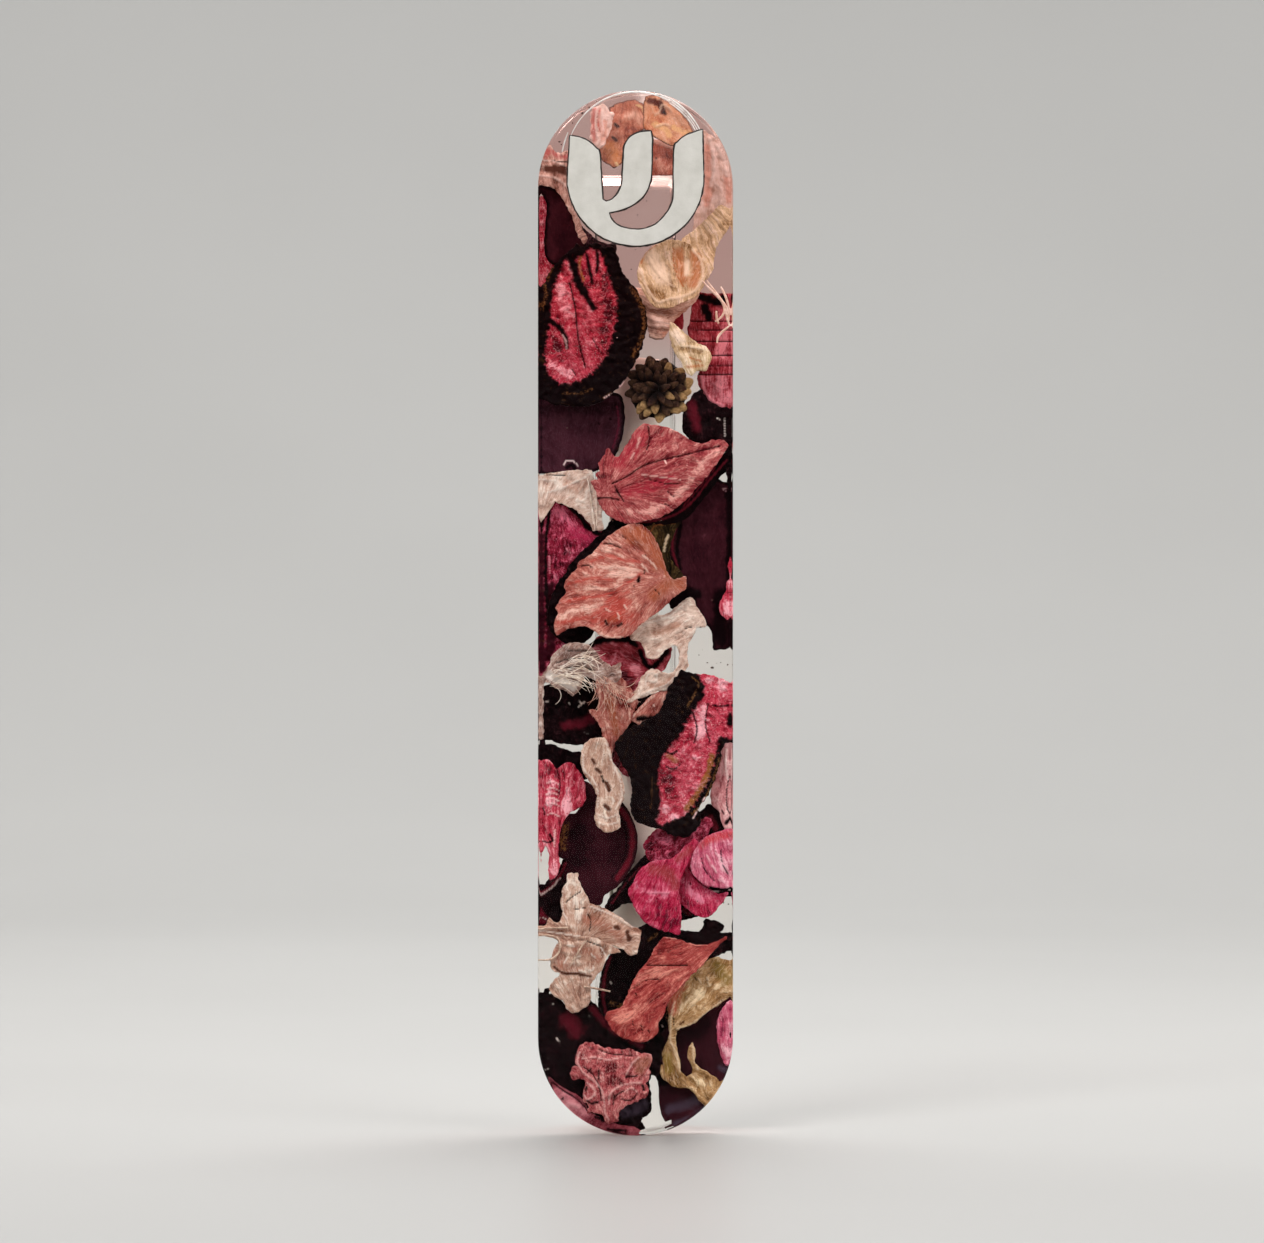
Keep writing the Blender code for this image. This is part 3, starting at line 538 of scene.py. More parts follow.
def make_petal(name, tone, kind, spring, seed, shape=None, part=None, inner=None, rim=0.0, marks=(),
               bowl=0.0, lift=0.0, grow=None, opacity=None, around=False):
    """A thin crinkled sheet that stands for a flat CAD petal, or for a scrap beside it (part).

    shape is its own outline where the CAD outline is simpler. spring is the point that its veins fan
    out from, or go round if around is set. inner bounds the fleshy part inside a thick dark rim, and rim
    gives a thin dark edge. marks are (mark, half width, points) strokes. Fold marks paint shade along a
    dip, crest marks paint a highlight along a ridge, and light and shade marks paint light and shade.
    bowl hollows the sheet, lift brings it forward and grow widens its outline.
    """
    look = KINDS[kind]
    low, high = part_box(name)
    middle = layer_depth(name)
    room = (high.y - low.y) / 2 / MM
    if grow is None:
        grow = GROWN_REAR if middle > REAR_FRONT else GROWN
    outline = kept_inside(sharp_spline(shape or node_outline(name), NET * 0.9, CORNER))
    jitter = 1.3 * rough(outline, 1.4, seed, 3) + 1.3 * wavy(outline, 0.45, seed + 3)
    outline = outline + normals_of(outline) * (jitter * look["ragged"] + grow)[:, None]
    outline = kept_inside(outline)
    points, faces = net_of(outline, NET)
    edge = distance_to(points, outline, True)
    centre = points.mean(0)
    flow = flow_of(points, spring, centre)
    warp = 0.5 * wavy(points, 3.0, seed + 11) + 0.2 * wavy(points, 1.0, seed + 12)
    if around:
        flow = flow[:, ::-1].copy()
    if inner is not None:
        ring = spline(inner, 0.4, True)
        depth = distance_to(points, ring, True) * np.where(inside(points, ring), -1, 1)
        flow = ring_flow(points, ring, depth) * (0.62, 0.8)
    flow[:, 0] += warp
    pitch, vein_height = look["vein"]
    flow[:, 1] *= look["stretch"]
    vein = rough(flow * pitch, 1.0, seed + 20, 2)
    crease = smoothstep(0.72, 1.0, rough(flow * 0.55 + 40, 1.0, seed + 25, 1))
    crumple_size, crumple_height = look["crumple"]
    crumple = rough(points, crumple_size, seed + 30, 3)
    dome_width = max(1.5, edge.max())
    dome = look["dome"] * (1 - (1 - np.clip(edge / dome_width, 0, 1)) ** 2)
    curl = look["curl"] * np.exp(-edge / 0.5)
    relief = dome + curl + vein * vein_height + crumple * crumple_height - crease * look["crease"] * 0.25
    relief -= bowl * smoothstep(0.3, max(1.5, edge.max() * 0.6), edge)
    # Painted light and shade: the tone is lighter where the veins and crumples rise and darker in the
    # creases.
    value = 0.41 + 0.31 * look["contrast"] * (vein + crumple) - 0.5 * look["crease"] * crease

    rim_mask = np.zeros(len(points))
    rim_noise = rough(points, 0.9, seed + 40) * 0.22 + wavy(points, 0.45, seed + 41) * 0.14
    if inner is not None:
        serrated = 0.30 * rough(flow * (3.2, 0.6), 1.0, seed + 45, 2)
        rim_mask = smoothstep(-0.08, 0.14, depth + rim_noise + serrated)
        relief += 0.30 * rim_mask - 0.1 * (1 - rim_mask)
    if rim:
        rim_mask = 1 - smoothstep(-0.06, 0.10, edge - rim + rim_noise * min(rim * 1.6, 1.0))

    masks = {mark: np.zeros(len(points)) for mark in ("dark", "pale", "warm", "rosy", "bark", "plum")}
    masks["rim"] = rim_mask
    mottle = wavy(points, 0.7, seed + 50) * 0.35 + rough(points, 0.8, seed + 51) * 0.25
    for mark, half, line in marks:
        curve = spline(line, 0.3, False)
        gap = distance_to(points, curve, False)
        wobble = gap + mottle * half
        mask = 1 - smoothstep(half * 0.6, half * 1.25, wobble)
        # A fold dips the sheet and paints shade along the dip. A crest raises it and paints a highlight along
        # the ridge.
        if mark == "fold":
            relief -= 0.35 * np.exp(-(gap / half) ** 2)
            masks["dark"] = np.maximum(masks["dark"], mask)
        elif mark == "crest":
            relief += 0.2 * np.exp(-(gap / half) ** 2)
            masks["pale"] = np.maximum(masks["pale"], 0.6 * mask)
        elif mark in ("light", "shade"):
            change = 0.35 if mark == "light" else -0.35
            value += change * (1 - smoothstep(half * 0.3, half * 1.6, wobble))
        elif mark in SOFT_MARKS:
            soft = 1 - smoothstep(half * 0.3, half * 1.5, wobble)
            mark = SOFT_MARKS[mark]
            masks[mark] = np.maximum(masks[mark], 0.8 * soft)
        else:
            masks[mark] = np.maximum(masks[mark], mask)
    relief = np.clip(relief - np.median(relief) + lift, -room * 0.95, room * 0.95)
    vertices = [at(x, z, middle - r) for (x, z), r in zip(points, relief)]
    label = f"{name}_{part or 'sheet'}".replace(" ", "_")
    piece = new_object(label, vertices, faces)
    set_attribute(piece, "flow", "FLOAT_VECTOR", np.column_stack([flow, np.full(len(flow), seed)]))
    set_attribute(piece, "tone", "FLOAT", np.clip(value, 0, 1))
    for attribute, held in (("marks", ("rim", "dark", "pale")), ("more", ("warm", "rosy", "bark"))):
        set_attribute(piece, attribute, "FLOAT_VECTOR", np.column_stack([masks[mark] for mark in held]))
    set_attribute(piece, "plum", "FLOAT", masks["plum"])
    thicken(piece, SHEET)
    piece.data.materials.append(petal_material(f"{label}_skin", tone, kind, opacity or look["opacity"]))
    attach(piece, "case")
    if not part:
        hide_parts(name)


# Every petal: node, tone, kind, spring of its veins, then whatever else makes it its own. A shape is
# its own outline where the flat CAD piece is simpler. A part is a scrap beside the node's main petal.
PETALS = [
    # Top of the case.
    ("orange_petal", "orange", "silky", (1.6, 151.0), dict(shape=[
        (1.3, 147.7), (1.6, 149.0), (2.8, 149.2), (3.8, 148.7), (5.4, 147.6), (7.0, 146.0), (8.3, 143.8),
        (7.0, 143.0), (5.6, 142.2), (2.6, 143.6), (1.3, 145.0)], rim=0.14, bowl=0.3, marks=[
        ("warm", 0.4, [(5.4, 144.8), (6.6, 144.2), (7.6, 144.0)]),
        ("warm", 0.5, [(2.8, 145.2), (4.2, 144.6), (4.8, 143.6)]),
        ("rim", 0.5, [(2.0, 148.6), (3.4, 148.2), (4.0, 147.0)]),
        ("crest", 0.13, [(2.8, 146.6), (3.4, 147.0), (3.9, 148.0), (5.0, 147.4)]),
        ("crest", 0.14, [(3.0, 144.9), (4.2, 145.3), (4.9, 145.0)]),
        ("dark", 0.12, [(4.0, 147.0), (4.2, 146.8)]),
        ("shade", 0.8, [(2.2, 146.0), (3.4, 145.6)])])),
    ("brown_orange_petal", "brown", "silky", (-1.5, 150.5), dict(shape=[
        (-3.6, 147.6), (-2.6, 148.1), (-1.5, 148.4), (-0.3, 148.7), (0.4, 148.3), (1.2, 147.6),
        (1.5, 145.0), (0.2, 144.0), (-1.2, 143.0), (-2.0, 140.0), (-3.0, 139.2), (-4.2, 140.0),
        (-5.2, 141.0), (-4.8, 143.2), (-3.7, 145.4)], rim=0.12, bowl=0.2, marks=[
        ("rim", 0.3, [(-2.9, 145.3), (-2.5, 145.0)]),
        ("rim", 0.3, [(-3.2, 143.4), (-2.8, 143.0)]),
        ("light", 0.7, [(-1.2, 146.2), (0.2, 146.6), (0.6, 145.4)]),
        ("shade", 1.0, [(-1.0, 144.0), (0.8, 143.8)]),
        ("tint", 1.2, [(-3.6, 142.0), (-2.6, 140.4)]),
        ("pale", 0.16, [(0.2, 148.0), (1.0, 147.6), (1.4, 146.0), (1.3, 145.0)]),
        ("pale", 0.14, [(-2.8, 139.8), (-2.4, 139.2)])])),
    ("crinkled_petal_strip", "veil", "crinkled", (-4.4, 156.0), dict(shape=[
        (-6.0, 147.4), (-4.6, 147.9), (-3.9, 147.0), (-3.2, 146.6), (-3.7, 144.6), (-4.6, 142.4),
        (-5.4, 141.9), (-6.3, 143.3), (-6.2, 145.2)], marks=[
        ("rosy", 0.5, [(-5.9, 147.2), (-6.1, 145.0), (-5.8, 143.0)]),
        ("rosy", 0.18, [(-5.1, 147.4), (-5.3, 145.6), (-5.1, 144.2)]),
        ("rim", 0.08, [(-5.4, 147.0), (-5.6, 145.0), (-5.4, 143.8)]),
        ("tint", 0.5, [(-4.4, 145.4), (-4.6, 143.2)]),
        ("crest", 0.13, [(-5.6, 147.2), (-5.7, 145.2), (-5.4, 143.4)]),
        ("crest", 0.12, [(-4.6, 147.6), (-4.8, 146.0), (-4.5, 144.2)]),
        ("crest", 0.12, [(-3.6, 146.6), (-3.9, 145.2)])])),
    ("rust_petal", "rust", "silky", (3.6, 150.0), dict(marks=[
        ("crest", 0.34, [(1.8, 143.4), (3.6, 142.7), (5.6, 141.9)]),
        ("dark", 0.14, [(3.0, 140.6), (3.0, 140.4)]),
        ("light", 0.9, [(2.8, 139.8), (4.6, 139.4)])])),
    ("peach_petal", "veil", "sheer", (11.0, 160.0), dict(shape=[
        (9.6, 144.2), (10.8, 143.4), (11.9, 142.0), (12.9, 139.8), (13.6, 137.0), (13.9, 133.0),
        (12.6, 133.6), (10.6, 131.8), (8.6, 130.0), (9.0, 134.0), (9.5, 139.0)], marks=[
        ("crest", 0.22, [(10.6, 143.2), (11.1, 140.8), (11.2, 138.6), (10.7, 136.6)]),
        ("crest", 0.2, [(11.6, 142.4), (12.6, 140.2), (13.0, 138.0)]),
        ("tint", 0.6, [(10.3, 142.0), (10.3, 138.0), (10.2, 134.0)]),
        ("tint", 0.5, [(13.0, 137.6), (13.3, 134.4)])])),
    ("banded_petal", "beige", "pleated", (-10.4, 128.0), dict(shape=[
        (-13.5, 139.6), (-12.8, 141.2), (-12.2, 142.2), (-11.6, 141.0), (-10.4, 141.0), (-9.2, 141.2),
        (-8.6, 138.0), (-8.4, 134.2), (-8.0, 130.8), (-7.0, 128.8), (-7.4, 128.2), (-8.2, 129.6),
        (-8.9, 132.0), (-10.2, 134.6), (-11.8, 136.3), (-13.9, 136.8), (-13.9, 138.4)], marks=[
        ("rim", 0.7, [(-12.6, 138.8), (-10.8, 138.7), (-9.6, 138.2)]),
        ("tint", 0.4, [(-13.0, 140.4), (-12.2, 141.4), (-11.0, 140.6), (-9.4, 140.6)]),
        ("dark", 0.10, [(-13.4, 139.6), (-12.4, 140.1), (-11.0, 139.8), (-9.4, 139.9)]),
        ("crest", 0.16, [(-13.6, 137.8), (-11.8, 137.6), (-10.4, 136.8), (-9.2, 135.2), (-8.8, 133.4)]),
        ("crest", 0.12, [(-13.4, 139.9), (-11.8, 139.9), (-10.2, 139.3)])])),
    ("black_petal_upper_left", "maroon", "smooth", (-10.0, 120.0), dict(shape=[
        (-13.9, 136.4), (-12.6, 136.3), (-11.0, 135.4), (-9.6, 133.6), (-8.5, 131.4), (-7.8, 129.4),
        (-7.2, 127.6), (-8.8, 126.3), (-11.2, 125.2), (-12.4, 125.9), (-12.9, 127.6), (-12.7, 131.0),
        (-12.6, 134.0)], rim=0.4)),
    ("black_petal_upper_left", "plum", "sheer", (-6.0, 120.0), dict(part="fringe", shape=[
        (-8.6, 131.8), (-7.4, 130.2), (-6.0, 128.8), (-4.4, 128.0), (-2.9, 127.9), (-2.8, 126.6),
        (-4.0, 126.2), (-6.0, 127.4), (-8.2, 127.4)], lift=-0.3)),
    ("pink_sliver_petal", "pink", "crinkled", (-12.5, 140.0), dict(shape=[
        (-13.9, 134.8), (-12.8, 134.0), (-11.9, 130.0), (-11.4, 125.2), (-12.4, 123.0), (-13.4, 119.6),
        (-13.9, 119.0)])),
    # The large upper pod and the cream rose beside it.
    ("pink_seed_pod_upper", "pink", "fleshy", (-3.0, 128.5), dict(shape=[
        (-13.9, 106.2), (-11.6, 105.2), (-8.8, 104.9), (-6.0, 105.2), (-4.0, 106.2), (-2.4, 107.6),
        (-0.6, 110.6), (0.8, 113.4), (1.4, 116.0), (1.2, 118.6), (0.4, 120.6), (-0.6, 122.2),
        (-2.0, 123.8), (-2.7, 126.2), (-3.4, 127.6), (-4.6, 127.2), (-5.6, 128.1), (-7.2, 127.4),
        (-8.4, 127.8), (-9.8, 126.4), (-11.4, 125.0), (-12.8, 122.4), (-13.9, 119.6)], inner=[
        (-9.6, 126.6), (-8.4, 126.0), (-6.6, 127.6), (-5.2, 127.2), (-4.2, 125.4), (-3.4, 122.6),
        (-2.6, 119.8), (-2.7, 116.6), (-4.0, 112.4), (-5.8, 109.8), (-8.6, 108.0), (-11.4, 108.2),
        (-12.9, 110.2), (-13.0, 113.6), (-12.4, 116.6), (-12.3, 119.4), (-11.6, 122.6)], marks=[
        ("dark", 0.75, [(-9.6, 127.0), (-8.8, 124.6), (-8.4, 122.8), (-7.6, 121.2)]),
        ("dark", 0.30, [(-7.0, 126.4), (-6.6, 124.6), (-6.2, 122.4)]),
        ("dark", 0.30, [(-5.6, 127.2), (-5.4, 125.4), (-5.6, 124.0)]),
        ("dark", 0.55, [(-7.2, 121.6), (-7.0, 120.4), (-6.0, 118.8)]),
        ("dark", 0.42, [(-13.4, 118.0), (-12.2, 117.0), (-10.9, 116.0), (-10.1, 114.8), (-9.8, 113.2)]),
        ("crest", 0.13, [(-10.4, 114.9), (-9.9, 113.8), (-9.9, 113.0)]),
        ("fold", 0.15, [(-9.4, 122.4), (-8.6, 118.6), (-8.2, 114.6), (-7.2, 110.4)]),
        ("fold", 0.13, [(-9.0, 110.0), (-8.4, 109.0)]),
        ("fold", 0.12, [(-6.2, 114.4), (-5.2, 112.6)]),
        ("shade", 0.9, [(-4.6, 123.4), (-3.8, 118.6), (-5.0, 113.0)]),
        ("shade", 0.8, [(-12.4, 115.4), (-11.0, 113.2)]),
        ("light", 0.9, [(-10.6, 121.4), (-9.6, 117.6)]),
        ("light", 0.7, [(-11.8, 110.8), (-9.6, 109.4)]),
        ("warm", 0.22, [(-7.8, 126.4), (-8.0, 124.6), (-7.4, 122.8)]),
        ("bark", 0.30, [(-13.4, 123.0), (-12.8, 120.8), (-13.5, 118.4)]),
        ("bark", 0.22, [(-11.8, 125.0), (-12.6, 122.8)]),
        ("bark", 0.34, [(-0.6, 121.6), (0.7, 119.6), (1.2, 117.2), (0.9, 114.6), (-0.4, 112.0)]),
        ("bark", 0.16, [(-10.4, 106.6), (-8.2, 106.5), (-6.2, 107.2)]),
        ("bark", 0.14, [(-4.6, 105.9), (-3.6, 106.6)]),
        ("pale", 0.09, [(-4.4, 106.0), (-3.4, 106.6)]),
        ("pale", 0.10, [(-2.3, 107.4), (-1.6, 108.2)])])),
    ("cream_rose_curl", "cream", "veined", (5.8, 114.0), dict(shape=[
        (0.5, 123.6), (1.0, 125.6), (2.2, 127.2), (4.6, 128.4), (7.6, 127.9), (9.4, 126.2), (10.0, 124.2),
        (9.6, 122.2), (8.4, 120.6), (6.6, 119.8), (4.8, 119.0), (2.8, 119.2), (1.4, 121.0)],
        bowl=0.6, lift=0.2, marks=[
        ("glow", 1.3, [(2.4, 126.2), (3.0, 124.6), (3.8, 123.4)]),
        ("shade", 0.8, [(1.5, 123.2), (2.2, 121.4), (3.6, 120.4)]),
        ("shade", 0.35, [(4.6, 124.8), (4.9, 122.8), (5.6, 121.6)]),
        ("tint", 0.9, [(8.6, 126.2), (8.8, 124.2), (8.2, 122.4)]),
        ("tint", 0.8, [(6.2, 126.8), (6.4, 124.8), (6.9, 123.0)]),
        ("glow", 0.45, [(7.4, 125.4), (7.3, 123.8)]),
        ("warm", 0.10, [(5.4, 127.4), (5.5, 125.2), (6.1, 123.2), (6.8, 121.9)]),
        ("crest", 0.17, [(0.9, 124.4), (1.3, 122.6), (2.2, 120.8), (3.3, 119.7), (4.7, 120.1),
                         (6.8, 120.5), (8.6, 121.4), (9.6, 123.2), (9.4, 125.6), (8.2, 127.2)]),
        ("crest", 0.12, [(1.8, 126.2), (2.8, 124.4), (4.2, 122.8), (5.6, 121.9)]),
        ("warm", 0.13, [(0.8, 125.2), (1.6, 126.8), (2.8, 127.8)])])),
    ("cream_fan_petal", "cream", "pleated", (4.0, 141.0), dict(shape=[
        (13.6, 132.8), (12.2, 133.6), (10.0, 131.4), (8.0, 129.6), (6.6, 128.0), (7.2, 125.2),
        (9.4, 122.4), (10.8, 124.4), (11.2, 127.2), (12.4, 129.4), (13.6, 131.4)])),
    ("wrinkled_cream_cone", "shaving", "pleated", (4.8, 126.0), dict(around=True, shape=[
        (-0.4, 121.6), (2.0, 121.6), (5.0, 121.4), (9.2, 121.4), (8.4, 120.0), (7.2, 118.8),
        (5.6, 117.4), (4.6, 115.6), (3.6, 114.6), (2.2, 114.8), (1.8, 116.6), (1.2, 118.6)],
        bowl=-0.3, marks=[
        ("shade", 0.4, [(1.4, 119.4), (3.0, 118.4), (5.4, 118.6)]),
        ("tint", 0.3, [(4.0, 115.0), (6.0, 117.6), (7.6, 119.0)])])),
    ("small_cream_petal", "cream", "veined", (10.0, 104.0), dict(shape=[
        (5.0, 116.8), (5.9, 116.1), (7.2, 114.8), (8.6, 113.8), (9.8, 113.2), (10.6, 112.2),
        (10.5, 111.0), (9.9, 110.0), (8.6, 109.9), (8.0, 109.2), (7.2, 110.0), (6.6, 111.2),
        (5.9, 112.4), (5.2, 114.2)], marks=[
        ("crest", 0.15, [(6.6, 113.4), (8.0, 113.3), (9.6, 113.0)]),
        ("light", 0.7, [(5.8, 115.4), (6.8, 113.8)]),
        ("shade", 0.4, [(6.4, 113.0), (8.0, 112.8), (9.8, 112.4)]),
        ("warm", 0.12, [(7.8, 111.7), (9.4, 111.2)]),
        ("tint", 0.25, [(7.4, 110.4), (9.6, 110.6)])])),
    # Beside and below the cone.
    ("ribbed_red_petal", "red", "veined", (11.0, 80.0), dict(shape=[
        (8.4, 120.9), (11.0, 120.7), (13.9, 120.8), (13.9, 105.0), (13.6, 103.2), (13.2, 103.4),
        (12.6, 104.5), (11.4, 104.7), (10.2, 106.0), (9.2, 108.6), (9.6, 110.6), (9.2, 112.2),
        (8.4, 114.2), (7.8, 115.4), (8.2, 117.6)], marks=[
        ("dark", 0.8, [(9.4, 120.6), (11.6, 119.8), (12.4, 120.4)]),
        ("dark", 0.7, [(10.0, 119.2), (10.4, 117.6)]),
        ("light", 1.4, [(11.4, 108.6), (12.8, 106.6)]),
        ("light", 0.8, [(12.4, 112.6), (12.8, 115.6)]),
        ("crest", 0.22, [(9.4, 109.2), (9.7, 107.4), (10.8, 105.7), (12.6, 104.9)]),
        ("crest", 0.10, [(11.0, 108.2), (12.2, 107.4), (13.2, 107.6)])] + [
        ("fold", 0.09, [(7.8, 117.1 - rib), (10.2, 117.0 - rib), (13.8, 117.0 - rib)])
        for rib in (0.0, 1.2, 2.9, 4.9, 6.4, 7.6)])),
    ("ribbed_red_petal", "red", "smooth", (6.4, 100.0), dict(part="ends", shape=[
        (5.6, 119.0), (6.4, 119.6), (6.5, 116.4), (5.9, 115.9), (5.6, 116.4)])),
    ("black_petal_right", "black", "lumpy", (10.0, 110.0), dict(shape=[
        (8.4, 106.4), (9.4, 107.0), (10.2, 105.7), (11.8, 104.7), (13.9, 104.2), (13.9, 92.8),
        (13.4, 93.4), (13.2, 96.4), (12.8, 99.2), (10.5, 99.2), (8.6, 99.4), (7.4, 100.6),
        (6.9, 102.2), (7.2, 104.6)], marks=[
        ("tint", 0.7, [(8.0, 105.0), (8.4, 103.4), (8.8, 101.6)]),
        ("pale", 0.07, [(11.6, 103.1), (12.1, 102.9)]),
        ("crest", 0.08, [(12.7, 103.0), (12.8, 100.4)])])),
    ("maroon_cup_upper", "plum", "smooth", (-8.0, 84.0), dict(shape=[
        (-13.9, 106.0), (-8.0, 106.4), (-3.0, 106.4), (-2.0, 105.0), (-1.9, 102.6), (-2.4, 99.8),
        (-3.4, 97.4), (-4.8, 96.3), (-7.0, 95.4), (-9.6, 95.2), (-13.9, 95.4)],
        rim=0.45, bowl=0.5, marks=[
        ("warm", 0.10, [(-2.6, 104.8), (-2.4, 102.0), (-3.2, 98.8)]),
        ("shade", 1.2, [(-13.0, 104.6), (-8.0, 104.8), (-3.4, 104.8)]),
        ("pale", 0.09, [(-10.2, 96.2), (-9.8, 96.9), (-8.8, 96.8), (-8.2, 96.0)]),
        ("dark", 0.30, [(-9.8, 95.9), (-9.0, 96.3), (-8.6, 95.7)]),
        ("dark", 0.16, [(-5.2, 102.4), (-5.1, 102.2)]),
        ("dark", 0.14, [(-3.6, 103.0), (-3.5, 102.9)])])),
    ("pink_leaf_petal", "leaf", "veined", (-4.2, 92.4), dict(shape=[
        (0.2, 101.2), (1.2, 102.0), (2.8, 101.8), (4.6, 101.5), (6.4, 100.6), (8.0, 99.6), (9.4, 99.2),
        (10.8, 99.6), (12.2, 99.8), (13.1, 99.1), (12.2, 97.6), (10.6, 95.4), (9.4, 94.0), (7.6, 92.0),
        (5.8, 90.4), (4.0, 89.2), (1.6, 88.5), (-1.0, 88.1), (-2.8, 88.6), (-4.2, 89.6), (-5.2, 91.0),
        (-5.4, 92.3), (-6.3, 93.9), (-5.2, 94.0), (-5.5, 95.0), (-4.8, 95.4), (-5.2, 96.5),
        (-4.4, 97.4), (-3.9, 98.5), (-3.2, 97.4), (-2.3, 97.3), (-1.2, 99.0)], marks=[
        ("fold", 0.13, [(-3.4, 93.6), (-1.2, 94.6), (0.8, 96.0), (3.4, 96.9), (6.4, 97.6), (12.0, 99.0)]),
        ("dark", 0.14, [(-5.4, 91.5), (-4.0, 91.6), (-2.4, 91.3)]),
        ("fold", 0.12, [(-3.0, 93.2), (-2.2, 91.8), (-1.6, 91.0)]),
        ("shade", 0.45, [(-5.0, 94.7), (-3.4, 94.8)]),
        ("tint", 1.2, [(-2.4, 96.6), (-0.6, 98.4), (0.8, 100.4)]),
        ("fold", 0.12, [(1.8, 101.8), (2.0, 100.0), (1.6, 98.4)]),
        ("crest", 0.12, [(0.2, 98.8), (0.6, 100.2)]),
        ("crest", 0.10, [(-0.6, 97.2), (-0.2, 98.0)]),
        ("pale", 0.08, [(4.2, 96.9), (4.4, 96.4)]),
        ("tint", 1.0, [(-1.2, 92.2), (2.0, 93.0), (5.0, 94.2)]),
        ("light", 0.5, [(-2.6, 90.0), (1.0, 89.6), (4.4, 90.8), (8.0, 94.0)]),
        ("light", 0.5, [(9.4, 96.4), (11.6, 98.2)]),
        ("crest", 0.09, [(1.0, 94.9), (3.4, 94.6), (6.4, 94.2)]),
        ("fold", 0.08, [(2.0, 94.2), (4.4, 93.6), (6.2, 93.6)]),
        ("fold", 0.08, [(4.6, 92.5), (5.4, 91.8)]), ("fold", 0.08, [(4.2, 90.7), (4.9, 90.4)])])),
    ("dark_crescent_petal", "black", "smooth", (4.0, 100.0), dict(shape=[
        (13.9, 98.4), (12.2, 97.6), (10.4, 95.6), (8.4, 93.4), (6.4, 91.6), (4.0, 90.2), (0.5, 89.4),
        (-2.7, 89.2), (-3.2, 88.0), (-1.4, 87.3), (1.0, 87.5), (4.2, 87.9), (7.0, 88.7), (8.8, 90.6),
        (10.6, 92.8), (12.0, 94.8), (13.9, 96.4)], marks=[
        ("warm", 0.16, [(-0.4, 88.0), (3.0, 88.4), (6.0, 89.4), (8.4, 91.4), (10.4, 94.0), (13.0, 97.0)]),
        ("warm", 0.10, [(6.8, 90.4), (9.4, 93.4), (11.4, 96.0)])])),
    ("beige_petal_left", "shaving", "sheer", (-14.0, 88.0), dict(shape=[
        (-13.9, 94.6), (-10.0, 95.2), (-6.4, 95.4), (-5.4, 92.6), (-5.0, 89.6), (-4.8, 87.2),
        (-6.0, 87.0), (-7.2, 89.0), (-9.2, 90.4), (-11.6, 91.2), (-13.2, 88.8), (-13.9, 88.0)],
        opacity=0.72, marks=[
        ("tint", 0.7, [(-9.6, 93.4), (-8.2, 92.8), (-7.4, 93.8)]),
        ("crest", 0.11, [(-12.4, 92.4), (-10.4, 93.0), (-8.6, 93.9), (-7.0, 94.6)]),
        ("crest", 0.10, [(-13.4, 94.2), (-11.4, 94.0), (-10.6, 93.4)]),
        ("crest", 0.10, [(-8.4, 91.0), (-7.2, 91.4), (-7.0, 92.6)]),
        ("fold", 0.10, [(-13.0, 94.9), (-10.0, 94.8)])])),
    ("magenta_petal_left", "crimson", "crinkled", (-12.0, 96.0), dict(shape=[
        (-11.9, 91.4), (-10.8, 91.5), (-9.2, 90.4), (-7.6, 88.8), (-6.2, 87.4), (-4.6, 86.6),
        (-3.0, 87.2), (-3.4, 84.0), (-7.0, 80.0), (-9.0, 76.0), (-10.0, 73.0), (-9.8, 70.6),
        (-11.2, 69.4), (-12.2, 67.2), (-13.2, 65.4), (-13.9, 64.4), (-13.9, 87.6), (-13.0, 89.6)], marks=[
        ("dark", 0.50, [(-13.6, 87.0), (-12.8, 89.8), (-11.6, 91.2), (-10.4, 90.9)]),
        ("dark", 0.42, [(-9.6, 90.6), (-8.0, 89.0), (-6.8, 87.4), (-5.2, 86.4)]),
        ("light", 0.9, [(-11.0, 90.2), (-10.0, 88.8), (-9.0, 87.8)]),
        ("tint", 1.2, [(-8.6, 86.6), (-6.4, 85.6), (-4.6, 85.4)]),
        ("dark", 0.32, [(-12.1, 90.6), (-12.6, 87.4), (-12.8, 83.0), (-12.7, 78.0), (-12.4, 73.4)]),
        ("rim", 0.8, [(-13.6, 86.0), (-13.6, 80.0), (-13.5, 73.0), (-13.4, 67.0)]),
        ("rim", 0.8, [(-12.0, 78.6), (-12.2, 75.0), (-12.0, 71.4), (-12.6, 68.6)]),
        ("crest", 0.08, [(-12.3, 83.2), (-12.2, 80.8)]), ("crest", 0.07, [(-11.6, 80.4), (-11.2, 79.8)]),
        ("crest", 0.07, [(-10.0, 84.4), (-9.2, 83.6)])])),
    ("salmon_petal", "salmon", "veined", (4.6, 80.2), dict(shape=[
        (-4.4, 85.4), (-3.0, 86.4), (-1.8, 87.2), (-0.4, 87.7), (1.0, 87.4), (2.2, 86.2), (3.2, 84.4),
        (3.8, 82.6), (4.4, 80.8), (5.4, 79.6), (6.2, 79.8), (7.1, 80.1), (7.1, 78.6), (5.8, 77.8),
        (4.2, 76.2), (2.4, 74.8), (0.6, 73.5), (-0.6, 72.2), (-2.0, 71.6), (-3.6, 71.6), (-5.0, 72.0),
        (-6.2, 72.9), (-7.4, 73.3), (-8.8, 73.1), (-10.0, 72.8), (-11.2, 72.0), (-11.5, 73.4),
        (-10.9, 75.0), (-11.3, 75.8), (-10.6, 76.8), (-9.7, 78.0), (-10.0, 79.0), (-9.2, 80.4),
        (-8.2, 81.3), (-8.0, 82.2), (-6.8, 82.9), (-6.0, 83.6)], marks=[
        ("tint", 1.3, [(-1.0, 86.4), (1.6, 85.4), (3.4, 82.4)]),
        ("tint", 1.0, [(2.6, 77.6), (4.6, 79.0), (6.4, 79.2)]),
